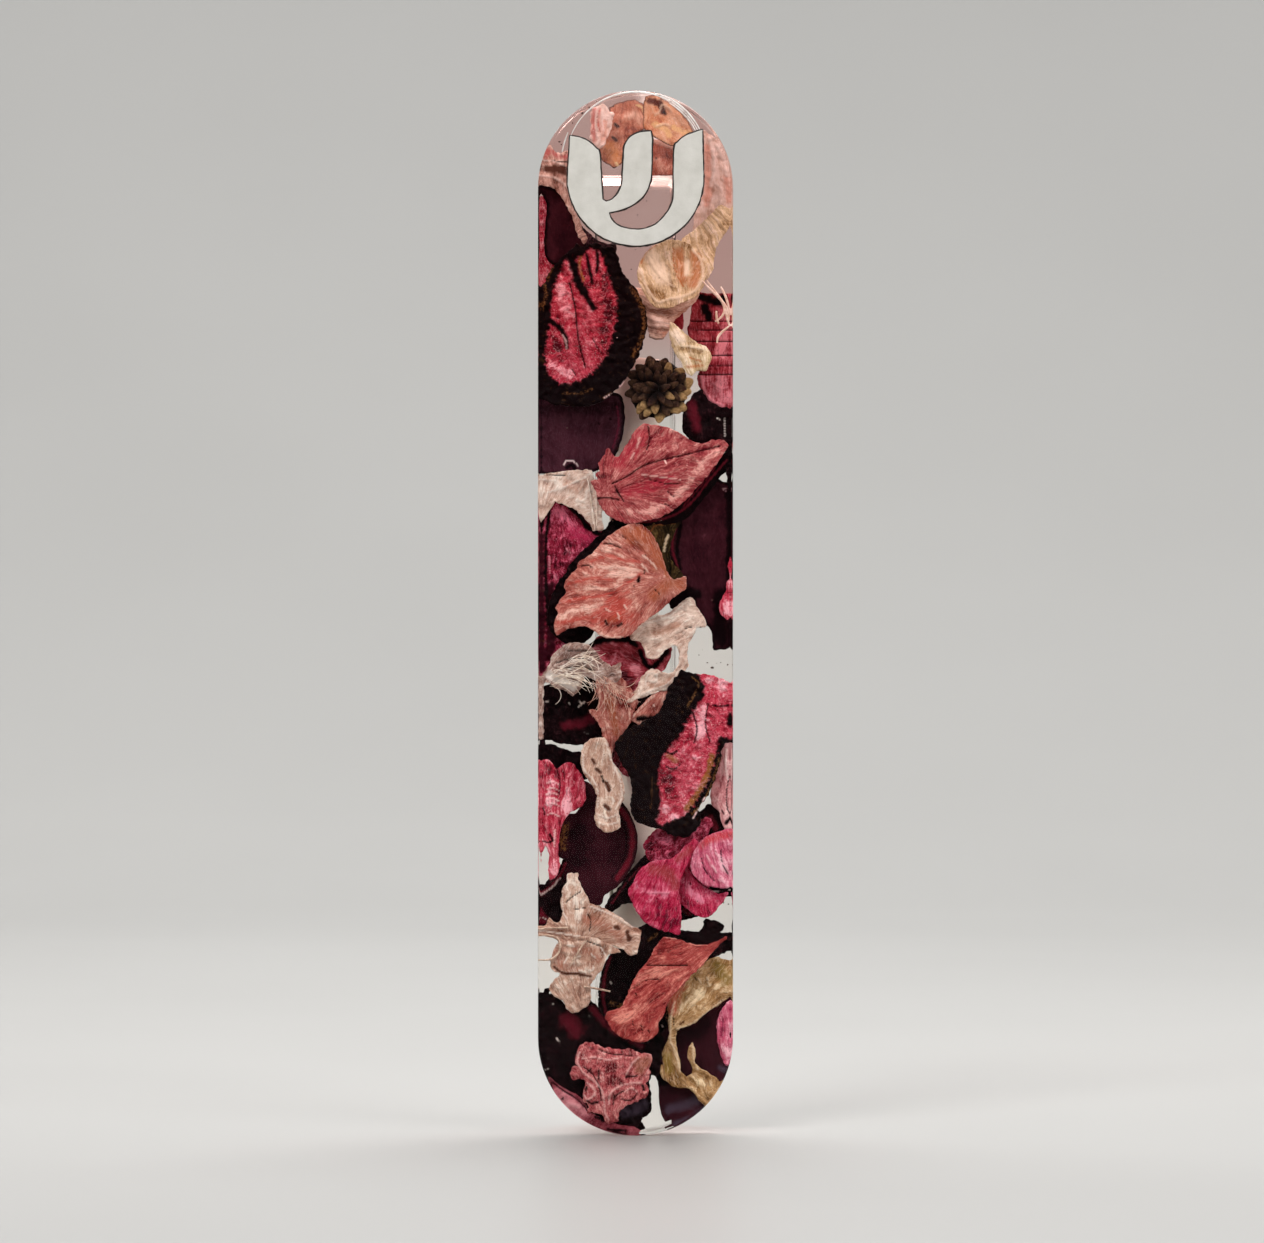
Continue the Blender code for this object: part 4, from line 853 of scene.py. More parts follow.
        ("warm", 0.25, [(0.2, 87.3), (2.4, 85.6), (3.6, 82.6), (4.6, 80.2)]),
        ("light", 1.0, [(-5.6, 81.6), (-3.0, 81.0), (-0.4, 80.8)]),
        ("light", 0.8, [(-8.6, 78.6), (-6.0, 78.2), (-2.6, 79.2)]),
        ("light", 0.6, [(-10.4, 74.4), (-8.2, 75.6), (-5.0, 76.0)]),
        ("rosy", 0.25, [(-6.4, 82.4), (-4.2, 83.2), (-1.4, 82.6), (0.6, 82.4)]),
        ("rosy", 0.22, [(-9.6, 79.2), (-6.4, 80.0), (-3.4, 79.8)]),
        ("rosy", 0.25, [(-10.6, 76.6), (-7.4, 77.2), (-4.4, 77.6), (-1.6, 79.0), (0.8, 80.6)]),
        ("rosy", 0.35, [(-11.0, 73.6), (-8.0, 74.2), (-5.4, 75.0), (-3.6, 77.0), (-1.0, 78.0)]),
        ("rosy", 1.5, [(-5.0, 74.6), (-3.0, 75.4), (-1.2, 74.4)]),
        ("rosy", 0.7, [(-3.2, 76.8), (-1.0, 76.4)]),
        ("fold", 0.11, [(-7.8, 81.7), (-6.9, 81.9), (-6.2, 81.5)]),
        ("fold", 0.10, [(-4.6, 85.0), (-3.4, 84.9), (-2.2, 84.4)]),
        ("fold", 0.10, [(-2.0, 86.2), (-1.4, 85.7)]),
        ("fold", 0.08, [(2.8, 78.4), (3.4, 77.7)]),
        ("dark", 0.26, [(0.5, 80.2), (0.4, 79.6)]), ("dark", 0.11, [(1.2, 81.2), (1.3, 80.8)]),
        ("dark", 0.09, [(1.3, 83.4), (1.4, 83.3)]), ("dark", 0.09, [(-0.3, 79.0), (-0.2, 78.8)]),
        ("crest", 0.10, [(1.0, 83.3), (2.2, 82.4), (3.0, 81.4)]),
        ("crest", 0.10, [(0.9, 82.0), (1.8, 81.0)]),
        ("shade", 1.0, [(-4.2, 73.4), (-2.2, 73.8)]), ("warm", 0.5, [(-3.8, 74.0), (-2.4, 74.6)]),
        ("dark", 0.24, [(-4.3, 73.9), (-4.0, 73.4)]), ("dark", 0.22, [(-2.5, 73.2), (-2.0, 73.5)]),
        ("crest", 0.09, [(-2.6, 75.0), (-2.3, 74.2)]), ("crest", 0.08, [(-4.2, 75.6), (-3.6, 75.2)]),
        ("crest", 0.07, [(-1.6, 76.2), (-1.2, 75.6)]),
        ("crest", 0.11, [(-5.2, 71.8), (-3.4, 71.5), (-1.4, 71.7)])])),
    ("olive_bract", "olive", "veined", (4.6, 77.0), dict(shape=[
        (1.4, 87.2), (2.6, 88.0), (4.6, 88.2), (6.2, 88.0), (5.4, 86.6), (4.7, 84.4), (5.2, 82.2),
        (6.7, 80.4), (6.2, 78.6), (4.6, 78.4), (2.4, 80.0), (1.2, 84.0)], marks=[
        ("pale", 0.16, [(4.7, 86.3), (4.3, 85.2), (4.1, 84.0)]),
        ("warm", 0.12, [(2.3, 86.9), (3.0, 87.7), (5.6, 88.0)])])),
    ("olive_bract", "black", "lumpy", (-6.0, 66.0), dict(part="backing", lift=-0.5, shape=[
        (-12.3, 73.6), (-12.2, 76.0), (-11.3, 78.4), (-10.2, 80.4), (-8.9, 82.2), (-6.8, 84.4),
        (-5.2, 85.9), (-3.6, 87.8), (-2.8, 88.8), (1.0, 88.6), (1.4, 87.0), (-1.0, 84.0),
        (-5.0, 80.0), (-8.0, 76.0), (-7.6, 73.8), (-6.2, 73.2), (-6.2, 72.2), (-7.0, 71.2),
        (-8.6, 70.8), (-10.2, 71.0), (-11.4, 71.9)])),
    ("maroon_petal_right", "maroon", "smooth", (10.6, 70.0), dict(shape=[
        (6.6, 89.6), (8.0, 91.6), (9.6, 93.4), (11.2, 94.2), (12.4, 93.6), (13.9, 93.4), (13.9, 77.8),
        (13.6, 74.4), (13.2, 73.2), (13.2, 70.2), (11.4, 70.0), (11.1, 72.6), (10.0, 74.0),
        (8.9, 75.6), (8.2, 77.0), (6.8, 76.0), (5.2, 76.0), (5.0, 77.6), (6.4, 79.6), (6.0, 81.4),
        (5.0, 83.6), (4.8, 86.0), (5.8, 88.2)], rim=0.45, bowl=0.4, marks=[
        ("dark", 0.30, [(6.6, 89.4), (6.2, 86.4), (5.9, 84.0), (6.4, 81.4)]),
        ("warm", 0.14, [(6.0, 88.4), (5.4, 86.0), (5.3, 84.0), (6.2, 81.4)]),
        ("dark", 1.2, [(12.2, 77.6), (12.0, 74.4), (12.2, 71.2)]),
        ("dark", 1.0, [(5.6, 76.8), (7.6, 78.0), (8.6, 77.8)]),
        ("pale", 0.06, [(13.0, 93.0), (12.4, 92.9), (12.9, 92.6)]),
        ("dark", 0.7, [(13.4, 92.0), (13.6, 86.0), (13.4, 80.0)])])),
    ("pink_edge_petal", "pink", "veined", (13.4, 86.0), dict(shape=[
        (13.9, 83.8), (13.6, 83.0), (13.4, 81.6), (13.7, 80.2), (13.2, 79.2), (13.1, 78.2), (12.4, 77.0),
        (12.1, 75.8), (12.4, 74.8), (13.2, 74.2), (13.7, 75.2), (13.9, 77.0)], grow=0.1, marks=[
        ("dark", 0.09, [(13.0, 77.9), (13.9, 77.9)]), ("light", 0.4, [(13.2, 76.6), (13.0, 75.2)])])),
    ("wood_shaving", "shaving", "sheer", (12.0, 76.0), dict(shape=[
        (-0.2, 72.8), (1.4, 73.6), (3.6, 74.5), (5.0, 74.9), (6.0, 75.9), (7.4, 77.0), (8.2, 76.8),
        (9.0, 75.2), (9.8, 74.2), (9.8, 73.2), (8.6, 73.0), (8.2, 72.0), (7.5, 70.8), (7.2, 69.2),
        (7.3, 67.6), (6.6, 66.6), (5.8, 65.4), (4.4, 64.2), (2.8, 63.8), (1.2, 63.2), (-1.2, 62.2),
        (0.4, 64.2), (1.2, 66.0), (2.6, 66.8), (4.4, 66.4), (5.8, 66.7), (6.4, 68.0), (6.3, 70.2),
        (5.4, 70.6), (3.8, 69.6), (3.0, 68.6), (1.8, 68.8), (1.2, 70.4), (0.6, 71.0), (-0.5, 71.4)], marks=[
        ("crest", 0.12, [(-0.2, 72.7), (1.8, 73.6), (4.8, 74.6), (7.2, 76.6)]),
        ("fold", 0.08, [(7.0, 72.8), (8.4, 73.1), (9.4, 73.0)]),
        ("tint", 0.6, [(3.0, 72.2), (6.0, 73.4)]),
        ("tint", 0.4, [(2.2, 64.6), (4.2, 64.8), (5.4, 66.0)]),
        ("crest", 0.12, [(1.4, 64.8), (1.8, 66.2), (3.0, 66.2), (2.8, 65.2), (1.8, 65.4)]),
        ("crest", 0.10, [(0.6, 63.2), (2.4, 64.0), (4.6, 64.9), (6.4, 67.0)])])),
    # The middle of the case.
    ("red_petal_centre", "red", "veined", (4.0, 66.0), dict(shape=[
        (-6.6, 70.0), (-5.0, 71.4), (-3.0, 71.8), (-0.8, 72.2), (0.4, 71.2), (1.0, 69.8), (1.6, 68.8),
        (2.8, 68.5), (3.8, 69.2), (4.9, 70.0), (4.3, 68.0), (3.2, 66.4), (1.2, 66.0), (0.4, 64.6),
        (-0.6, 63.0), (-1.8, 64.0), (-3.0, 65.4), (-4.0, 66.8), (-5.6, 68.2)], marks=[
        ("dark", 0.55, [(-6.6, 70.2), (-4.4, 71.2), (-1.2, 71.2), (0.2, 70.4)]),
        ("dark", 0.50, [(0.6, 69.6), (1.6, 67.6), (2.8, 67.6), (4.6, 69.6)]),
        ("light", 0.7, [(-0.2, 67.2), (0.8, 65.8), (0.2, 64.6)]),
        ("crest", 0.10, [(-5.2, 68.8), (-4.2, 67.6), (-3.2, 68.0), (-2.8, 69.2)]),
        ("shade", 0.8, [(-1.6, 66.4), (-0.6, 64.8)])])),
    ("feathery_tuft", "tuft", "sheer", (-16.0, 62.0), dict(shape=[
        (-11.4, 69.2), (-9.6, 70.4), (-8.0, 70.5), (-6.4, 70.0), (-5.4, 68.8), (-4.4, 67.8),
        (-3.4, 67.2), (-2.2, 67.8), (-2.2, 66.2), (-2.6, 65.4), (-4.2, 65.0), (-5.6, 65.6),
        (-6.8, 66.1), (-7.8, 65.6), (-8.0, 64.2), (-9.0, 63.3), (-10.0, 63.9), (-11.2, 64.4),
        (-12.6, 65.2), (-13.6, 65.6), (-12.4, 67.0), (-11.9, 68.2)], lift=-0.15, marks=[
        ("tint", 0.8, [(-10.4, 69.2), (-8.0, 69.4), (-6.2, 68.8)]),
        ("fold", 0.12, [(-11.4, 67.8), (-9.4, 68.4), (-7.2, 68.4)]),
        ("fold", 0.14, [(-10.4, 67.0), (-8.2, 67.2), (-6.0, 66.8)]),
        ("fold", 0.10, [(-9.6, 69.6), (-7.6, 69.6), (-6.2, 69.2)]),
        ("pale", 0.7, [(-12.4, 66.0), (-10.8, 65.4), (-9.0, 64.4)])])),
    ("feathery_tuft", "tuft", "sheer", (-13.6, 76.0), dict(part="edge", shape=[
        (-13.9, 65.8), (-13.0, 65.8), (-13.2, 63.0), (-13.3, 57.0), (-13.9, 57.0)], grow=0.05)),
    ("brown_pink_drape", "salmon", "sheer", (-2.8, 50.0), dict(shape=[
        (-5.4, 66.0), (-3.6, 66.6), (-2.0, 65.6), (-0.8, 64.2), (-0.4, 63.0), (0.3, 62.2), (-0.3, 61.2),
        (-0.9, 59.6), (-1.8, 58.1), (-2.8, 56.8), (-3.5, 55.2), (-3.9, 53.0), (-4.3, 55.4),
        (-4.5, 57.6), (-5.2, 59.4), (-6.4, 60.9), (-5.4, 60.9), (-5.0, 62.4), (-5.4, 64.0)],
        opacity=0.94, marks=[
        ("tint", 0.7, [(-3.8, 62.6), (-3.0, 60.0), (-2.8, 58.0)]),
        ("rosy", 0.3, [(-4.2, 65.4), (-2.8, 63.4), (-1.0, 62.0)]),
        ("fold", 0.10, [(-4.6, 64.6), (-3.2, 63.2), (-1.6, 62.4)]),
        ("fold", 0.08, [(-1.6, 62.2), (-0.4, 61.2)]),
        ("crest", 0.08, [(-2.8, 60.1), (-2.6, 59.6)])])),
    ("brown_pink_drape", "salmon", "veined", (5.0, 66.0), dict(part="corner", shape=[
        (-0.6, 59.8), (0.6, 61.2), (2.4, 63.0), (5.4, 65.0), (5.2, 62.0), (3.6, 59.8), (1.4, 59.0)], marks=[
        ("dark", 0.45, [(0.4, 59.8), (2.2, 59.9)]), ("crest", 0.09, [(-0.6, 59.9), (1.6, 62.2), (2.8, 63.2)]),
        ("crest", 0.07, [(2.6, 61.8), (2.7, 61.4)])])),
    ("black_petal_left", "black", "lumpy", (-8.0, 70.0), dict(shape=[
        (-13.4, 64.0), (-10.5, 64.8), (-8.0, 65.6), (-6.2, 66.2), (-5.0, 65.6), (-4.2, 63.0),
        (-3.8, 59.5), (-4.2, 57.2), (-6.5, 56.4), (-9.8, 56.5), (-13.4, 57.2)], marks=[
        ("pale", 0.13, [(-8.1, 61.5), (-7.7, 61.9), (-7.3, 62.2)]),
        ("pale", 0.12, [(-8.0, 62.3), (-7.7, 61.9)]),
        ("tint", 0.7, [(-10.0, 58.8), (-7.6, 59.2), (-6.4, 60.0)]),
        ("crest", 0.08, [(-12.8, 62.2), (-12.4, 62.3)]), ("crest", 0.06, [(-7.4, 57.8), (-6.8, 57.7)]),
        ("crest", 0.06, [(-9.5, 62.0), (-9.4, 61.8)])])),
    ("black_petal_left", "black", "lumpy", (-2.0, 66.0), dict(part="inner scrap", lift=-0.3, shape=[
        (-1.9, 64.0), (0.4, 63.4), (2.0, 63.8), (2.8, 62.2), (2.2, 60.4), (0.6, 58.8), (-1.0, 57.2),
        (-2.4, 56.6), (-3.2, 58.6), (-2.6, 61.6)])),
    ("black_petal_left", "black", "lumpy", (-8.0, 50.0), dict(part="lower edge", shape=[
        (-13.9, 57.0), (-13.4, 56.8), (-13.2, 55.5), (-12.0, 55.7), (-10.8, 55.2), (-9.2, 54.8),
        (-7.6, 54.6), (-7.2, 51.4), (-9.0, 51.8), (-13.9, 52.4)])),
    ("black_petal_centre", "red", "crinkled", (-3.0, 60.0), dict(part="upper scrap", shape=[
        (-3.6, 55.2), (-2.4, 56.8), (-1.0, 56.4), (-0.4, 53.0), (-1.0, 51.8), (-2.4, 53.2)], marks=[
        ("shade", 0.7, [(-3.0, 55.4), (-1.8, 53.6)])])),
    ("pink_seed_pod_lower", "pink", "fleshy", (9.0, 68.5), dict(shape=[
        (6.6, 66.6), (8.0, 66.2), (10.0, 66.0), (12.0, 65.4), (13.9, 64.6), (13.9, 57.4), (12.8, 56.6),
        (12.2, 55.2), (11.7, 53.0), (11.0, 50.8), (10.0, 48.8), (8.8, 47.0), (9.2, 46.0), (8.8, 44.4),
        (7.4, 43.2), (5.6, 43.2), (3.6, 44.2), (1.8, 44.6), (0.2, 45.3), (-0.4, 46.8), (-0.3, 49.4),
        (-0.6, 51.4), (-1.6, 53.2), (-2.4, 54.8), (-2.8, 56.4), (-1.2, 58.0), (0.8, 59.0), (3.2, 60.4),
        (4.2, 62.0), (4.8, 64.2)], inner=[
        (9.0, 66.4), (10.6, 67.0), (14.6, 66.0), (14.6, 57.6), (12.2, 57.0), (11.6, 54.4), (10.6, 51.2),
        (9.2, 48.6), (7.2, 46.2), (5.0, 45.0), (3.0, 44.8), (3.5, 47.4), (3.3, 50.0), (3.3, 53.0),
        (4.0, 55.0), (6.2, 57.6), (7.6, 60.0), (8.6, 61.6), (9.7, 63.4), (9.6, 65.0)], marks=[
        ("warm", 0.55, [(11.0, 54.4), (10.4, 51.8), (9.0, 49.2), (7.4, 47.0)]),
        ("bark", 0.22, [(12.0, 54.0), (11.0, 50.6), (9.6, 47.8), (8.2, 46.2)]),
        ("pale", 0.07, [(10.0, 48.6), (9.2, 47.0), (8.2, 45.6)]),
        ("fold", 0.14, [(8.2, 60.8), (8.8, 58.4), (8.4, 56.4)]),
        ("fold", 0.12, [(10.4, 62.0), (10.0, 59.2), (10.6, 56.6)]),
        ("dark", 0.18, [(4.2, 55.2), (5.2, 54.8), (5.9, 55.2)]),
        ("dark", 0.14, [(4.4, 53.0), (5.4, 52.6), (6.4, 53.2)]),
        ("dark", 0.16, [(11.2, 61.8), (12.4, 61.6), (13.4, 61.8)]),
        ("dark", 0.45, [(13.6, 60.4), (13.4, 59.2)]),
        ("light", 1.0, [(10.8, 65.0), (12.8, 64.2)]),
        ("light", 0.9, [(9.4, 61.4), (9.2, 57.6)]),
        ("shade", 1.0, [(4.6, 51.6), (5.0, 48.8)]),
        ("light", 0.7, [(4.4, 46.6), (5.8, 45.9)]),
        ("tint", 0.4, [(4.6, 54.6), (5.8, 53.8)]),
        ("bark", 0.14, [(8.2, 65.8), (9.0, 64.6), (7.4, 61.4)]),
        ("bark", 0.10, [(2.4, 51.4), (2.3, 49.0), (2.2, 47.0)])])),
    ("pale_pink_petal", "blush", "veined", (12.6, 64.0), dict(shape=[
        (12.4, 56.4), (13.4, 57.2), (13.9, 57.4), (13.9, 44.0), (13.0, 43.8), (12.5, 45.0), (12.2, 46.3),
        (11.6, 47.0), (11.0, 48.0), (11.0, 49.6), (11.6, 51.6), (11.9, 53.4), (11.7, 55.0)], marks=[
        ("crest", 0.14, [(13.0, 55.4), (12.9, 53.0), (13.2, 51.0)]),
        ("fold", 0.10, [(13.4, 51.6), (13.0, 49.4), (13.1, 47.0), (13.5, 46.0)]),
        ("dark", 0.30, [(13.9, 46.0), (13.4, 45.4), (13.0, 44.8)]),
        ("dark", 0.14, [(12.3, 46.6), (12.7, 46.2)]),
        ("bark", 0.25, [(12.4, 55.8), (12.2, 54.2)]),
        ("shade", 0.3, [(11.6, 48.8), (12.4, 51.4)])])),
    ("beige_curled_strip", "strip", "veined", (-3.0, 66.0), dict(shape=[
        (-7.4, 55.4), (-6.8, 56.4), (-5.6, 57.0), (-4.5, 57.0), (-3.9, 55.6), (-3.5, 54.0), (-2.9, 52.8),
        (-2.2, 51.4), (-1.8, 49.8), (-1.9, 48.2), (-2.6, 46.8), (-2.4, 45.4), (-2.3, 44.4), (-3.6, 43.7),
        (-5.0, 44.2), (-5.6, 45.4), (-5.6, 46.8), (-5.3, 48.4), (-5.6, 49.6), (-6.5, 51.0),
        (-7.4, 52.4), (-7.7, 54.0)], bowl=0.5, marks=[
        ("crest", 0.10, [(-7.5, 54.8), (-7.4, 52.6), (-6.2, 51.2), (-5.4, 49.4), (-5.4, 47.0)]),
        ("crest", 0.10, [(-4.3, 56.6), (-3.4, 53.8), (-2.2, 51.0), (-2.0, 48.6), (-2.8, 46.8)]),
        ("dark", 0.16, [(-4.8, 51.6), (-4.6, 50.8)]),
        ("rim", 0.32, [(-4.2, 50.6), (-3.8, 49.6)]), ("rim", 0.3, [(-5.6, 52.6), (-5.0, 52.2)]),
        ("rim", 0.36, [(-4.4, 47.4), (-3.8, 46.8)]), ("rim", 0.25, [(-6.2, 54.0), (-5.8, 53.4)]),
        ("crest", 0.09, [(-3.4, 48.6), (-3.0, 48.0)]), ("crest", 0.09, [(-4.2, 51.0), (-3.6, 51.0)]),
        ("crest", 0.09, [(-5.2, 46.0), (-4.0, 45.6), (-2.8, 46.0)]),
        ("crest", 0.08, [(-5.4, 45.0), (-4.0, 44.6), (-2.6, 45.0)])])),
    ("pink_petal_left", "pink", "veined", (-11.2, 36.0), dict(shape=[
        (-13.9, 53.4), (-12.8, 53.8), (-12.0, 53.4), (-11.2, 52.2), (-10.4, 53.0), (-9.6, 53.4),
        (-8.6, 52.9), (-7.7, 51.4), (-7.2, 49.6), (-7.4, 47.8), (-8.4, 46.9), (-9.6, 46.2), (-10.6, 44.6),
        (-11.0, 42.4), (-11.1, 40.2), (-10.9, 38.8), (-11.3, 37.4), (-12.2, 36.6), (-12.3, 38.4),
        (-12.4, 41.0), (-13.0, 41.8), (-13.5, 40.0), (-13.7, 37.4), (-13.9, 36.4)], grow=0.08, marks=[
        ("shade", 0.6, [(-13.2, 53.0), (-12.4, 52.6), (-13.0, 51.6)]),
        ("fold", 0.12, [(-11.2, 52.4), (-10.8, 50.8), (-10.9, 49.0)]),
        ("light", 0.7, [(-12.0, 51.0), (-12.0, 47.6)]),
        ("light", 0.6, [(-9.6, 49.6), (-9.8, 47.2)]),
        ("dark", 0.14, [(-13.2, 47.0), (-12.9, 46.0)]), ("dark", 0.2, [(-12.2, 43.2), (-11.9, 42.6)]),
        ("dark", 0.16, [(-13.2, 42.2), (-12.4, 42.0), (-11.8, 42.3)]),
        ("crest", 0.10, [(-11.5, 43.8), (-11.6, 41.4)]), ("light", 0.5, [(-11.6, 39.4), (-11.6, 37.8)])] + [
        ("crest", 0.085, [(-12.7, 50.5 - step), (-11.9, 50.8 - step), (-11.0, 50.4 - step)])
        for step in (0.0, 0.9, 1.6, 2.4, 3.1, 4.6)])),
    ("maroon_cup_lower", "maroon", "smooth", (-5.0, 33.0), dict(shape=[
        (-7.4, 50.6), (-6.0, 49.8), (-3.6, 48.6), (-2.0, 47.4), (-0.9, 45.6), (-0.2, 43.8), (-0.1, 42.0),
        (-0.4, 39.8), (-1.5, 37.6), (-3.0, 35.8), (-4.6, 34.7), (-5.2, 33.4), (-6.4, 32.9), (-7.4, 34.2),
        (-8.6, 35.4), (-9.9, 37.2), (-9.4, 39.0), (-10.0, 39.8), (-10.9, 40.2), (-10.9, 42.4),
        (-10.4, 44.4), (-9.6, 45.7), (-8.2, 46.0), (-7.4, 48.0)], bowl=0.5, marks=[
        ("warm", 0.40, [(-2.0, 46.8), (-0.7, 44.4), (-0.5, 42.0), (-0.9, 39.6), (-2.6, 36.8)]),
        ("dark", 0.10, [(-2.8, 46.8), (-1.5, 44.0), (-1.3, 41.6), (-1.9, 39.0), (-3.4, 37.0)]),
        ("bark", 0.5, [(-9.8, 44.6), (-10.3, 42.4), (-10.2, 41.0)]),
        ("shade", 2.0, [(-8.0, 43.0), (-8.4, 39.6)])])),
    ("maroon_petal_lower_left", "black", "lumpy", (-11.0, 40.0), dict(shape=[
        (-13.9, 34.8), (-12.8, 35.6), (-11.8, 36.6), (-10.6, 38.2), (-9.9, 39.4), (-9.3, 39.2),
        (-9.4, 36.8), (-9.8, 34.8), (-9.6, 32.2), (-9.9, 30.0), (-11.5, 29.8), (-13.9, 29.7)], marks=[
        ("warm", 0.30, [(-13.8, 34.3), (-12.2, 35.4), (-11.0, 36.8), (-9.8, 39.0)]),
        ("crest", 0.10, [(-13.8, 34.2), (-12.0, 35.4), (-10.8, 36.8)]),
        ("warm", 0.6, [(-13.8, 32.0), (-13.0, 30.8)]), ("crest", 0.07, [(-13.2, 31.2), (-12.8, 30.9)])])),
    ("magenta_petal_small", "crimson", "crinkled", (12.0, 47.0), dict(shape=[
        (1.2, 41.8), (2.0, 42.8), (3.2, 43.8), (4.4, 44.1), (5.4, 43.6), (6.4, 43.2), (7.4, 43.4),
        (8.4, 44.2), (9.2, 45.2), (10.0, 45.7), (11.0, 44.9), (10.6, 43.8), (9.6, 42.6), (8.2, 41.8),
        (6.6, 40.9), (5.4, 40.0), (3.8, 39.7), (2.2, 39.5), (1.6, 40.6)], grow=0.1, marks=[
        ("light", 0.6, [(3.0, 42.8), (4.4, 42.4), (5.4, 41.6)]), ("light", 0.3, [(9.4, 44.8), (10.2, 44.0)]),
        ("shade", 0.6, [(1.8, 41.4), (2.4, 40.2)])])),
    ("magenta_petal_large", "magenta", "veined", (8.4, 48.0), dict(shape=[
        (-0.9, 35.0), (-0.2, 36.2), (0.4, 37.6), (1.6, 38.8), (3.2, 39.4), (4.8, 39.5), (6.0, 40.2),
        (7.2, 41.4), (8.4, 42.5), (8.8, 41.8), (8.0, 40.2), (7.0, 38.4), (6.4, 37.0), (6.1, 35.4),
        (6.3, 33.0), (6.4, 30.6), (6.2, 28.8), (4.8, 29.3), (3.6, 29.6), (2.4, 30.1), (1.0, 31.2),
        (0.0, 32.8)], grow=0.12, marks=[
        ("tint", 1.0, [(2.6, 38.2), (5.0, 37.4), (5.6, 36.0)]),
        ("tint", 0.6, [(6.0, 39.6), (7.6, 41.0)]),
        ("light", 0.5, [(0.4, 35.4), (2.6, 34.8), (4.2, 34.4)]),
        ("crest", 0.09, [(1.0, 35.0), (3.0, 34.9), (4.8, 34.9)]),
        ("shade", 0.7, [(1.8, 31.6), (3.4, 31.0), (5.8, 30.6)])])),
    ("magenta_petal_middle", "magenta", "veined", (8.0, 46.0), dict(shape=[
        (7.4, 39.4), (6.2, 37.6), (5.8, 35.4), (6.4, 33.6), (7.6, 32.4), (9.0, 31.6), (10.2, 31.4),
        (11.1, 31.9), (11.6, 32.6), (12.4, 33.5), (13.1, 34.7), (11.6, 34.6), (10.4, 35.6), (10.0, 38.0),
        (8.8, 40.6)], grow=0.1, marks=[
        ("light", 0.5, [(7.0, 36.6), (8.2, 34.6), (9.6, 33.4)]),
        ("shade", 0.6, [(6.6, 34.6), (8.0, 32.8)]), ("dark", 0.13, [(7.7, 36.3), (7.9, 36.0)]),
        ("fold", 0.12, [(7.6, 38.4), (9.0, 36.4), (10.8, 35.2)])])),
    ("pink_petal_right", "pinkpale", "veined", (9.4, 48.0), dict(shape=[
        (8.0, 38.2), (8.2, 39.8), (8.9, 41.4), (10.2, 42.8), (12.0, 43.6), (13.9, 44.0), (13.9, 35.9),
        (12.8, 35.5), (11.4, 35.6), (9.8, 36.2), (8.6, 37.2)], grow=0.1, marks=[
        ("tint", 0.7, [(9.6, 41.8), (11.0, 42.6), (13.4, 43.2)]),
        ("light", 1.0, [(12.4, 39.2), (12.8, 37.0)]),
        ("crest", 0.10, [(10.2, 40.2), (10.8, 39.0), (11.6, 37.8)]),
        ("crest", 0.08, [(11.4, 41.0), (11.6, 40.2)]),
        ("fold", 0.08, [(9.4, 39.8), (10.0, 38.0), (11.2, 36.6)]),
        ("fold", 0.08, [(12.2, 41.0), (12.4, 39.2), (13.2, 37.6)])])),
    ("black_petal_centre", "black", "lumpy", (2.0, 50.0), dict(shape=[
        (-3.9, 32.6), (-3.4, 33.8), (-2.2, 35.2), (-0.9, 37.0), (0.2, 38.4), (1.6, 39.8), (5.4, 41.0),
        (8.0, 43.8), (9.0, 45.6), (10.4, 47.2), (12.4, 46.6), (12.5, 44.4), (13.9, 44.4), (13.9, 34.4),
        (12.6, 34.4), (10.6, 33.0), (8.6, 31.7), (6.5, 31.2), (5.6, 33.0), (3.0, 34.6), (0.6, 34.2),
        (-0.4, 33.7), (-1.4, 33.6), (-2.6, 33.0), (-3.4, 32.2)], marks=[
        ("warm", 0.5, [(10.8, 45.6), (11.4, 44.0)]), ("warm", 0.4, [(7.0, 32.2), (7.6, 31.8)]),
        ("warm", 0.10, [(-3.4, 33.2), (-1.6, 35.8), (0.6, 38.4)]),
        ("crest", 0.08, [(10.8, 35.0), (11.8, 34.9)]), ("pale", 0.07, [(12.9, 35.0), (13.6, 35.1)])])),
    # The lower end.
    ("beige_star_flower", "strip", "veined", (-8.6, 27.0), dict(shape=[
        (-9.6, 37.4), (-8.4, 37.5), (-8.2, 36.4), (-7.6, 35.2), (-7.0, 34.2), (-6.6, 33.2), (-5.4, 32.8),
        (-4.0, 32.2), (-2.4, 31.2), (-0.6, 30.0), (0.7, 29.4), (0.4, 27.8), (0.0, 26.2), (-0.8, 26.0),
        (-1.8, 26.9), (-3.2, 27.4), (-5.2, 27.8), (-7.4, 28.2), (-9.4, 27.8), (-10.8, 28.0),
        (-11.8, 28.5), (-13.9, 28.8), (-13.9, 29.9), (-12.7, 29.9), (-12.3, 31.1), (-11.6, 30.4),
        (-10.9, 30.5), (-10.3, 31.6), (-10.5, 33.4), (-10.3, 35.2), (-9.8, 36.2)], grow=0.14, marks=[
        ("light", 1.2, [(-9.2, 36.4), (-9.0, 34.4), (-8.4, 32.4)]),
        ("fold", 0.09, [(-10.0, 33.4), (-8.8, 34.4), (-7.8, 35.0)]),
        ("fold", 0.06, [(-8.9, 32.4), (-7.2, 32.7)]),
        ("tint", 0.9, [(-7.2, 31.0), (-4.6, 30.2), (-2.0, 28.4)]),
        ("fold", 0.10, [(-6.8, 31.8), (-6.4, 30.6), (-6.6, 29.4)]),
        ("rim", 0.35, [(-2.9, 29.9), (-2.4, 29.7)]), ("rim", 0.4, [(-1.2, 29.2), (-0.9, 28.2)]),
        ("crest", 0.09, [(-6.4, 32.9), (-3.4, 31.7), (-0.4, 29.9)]),
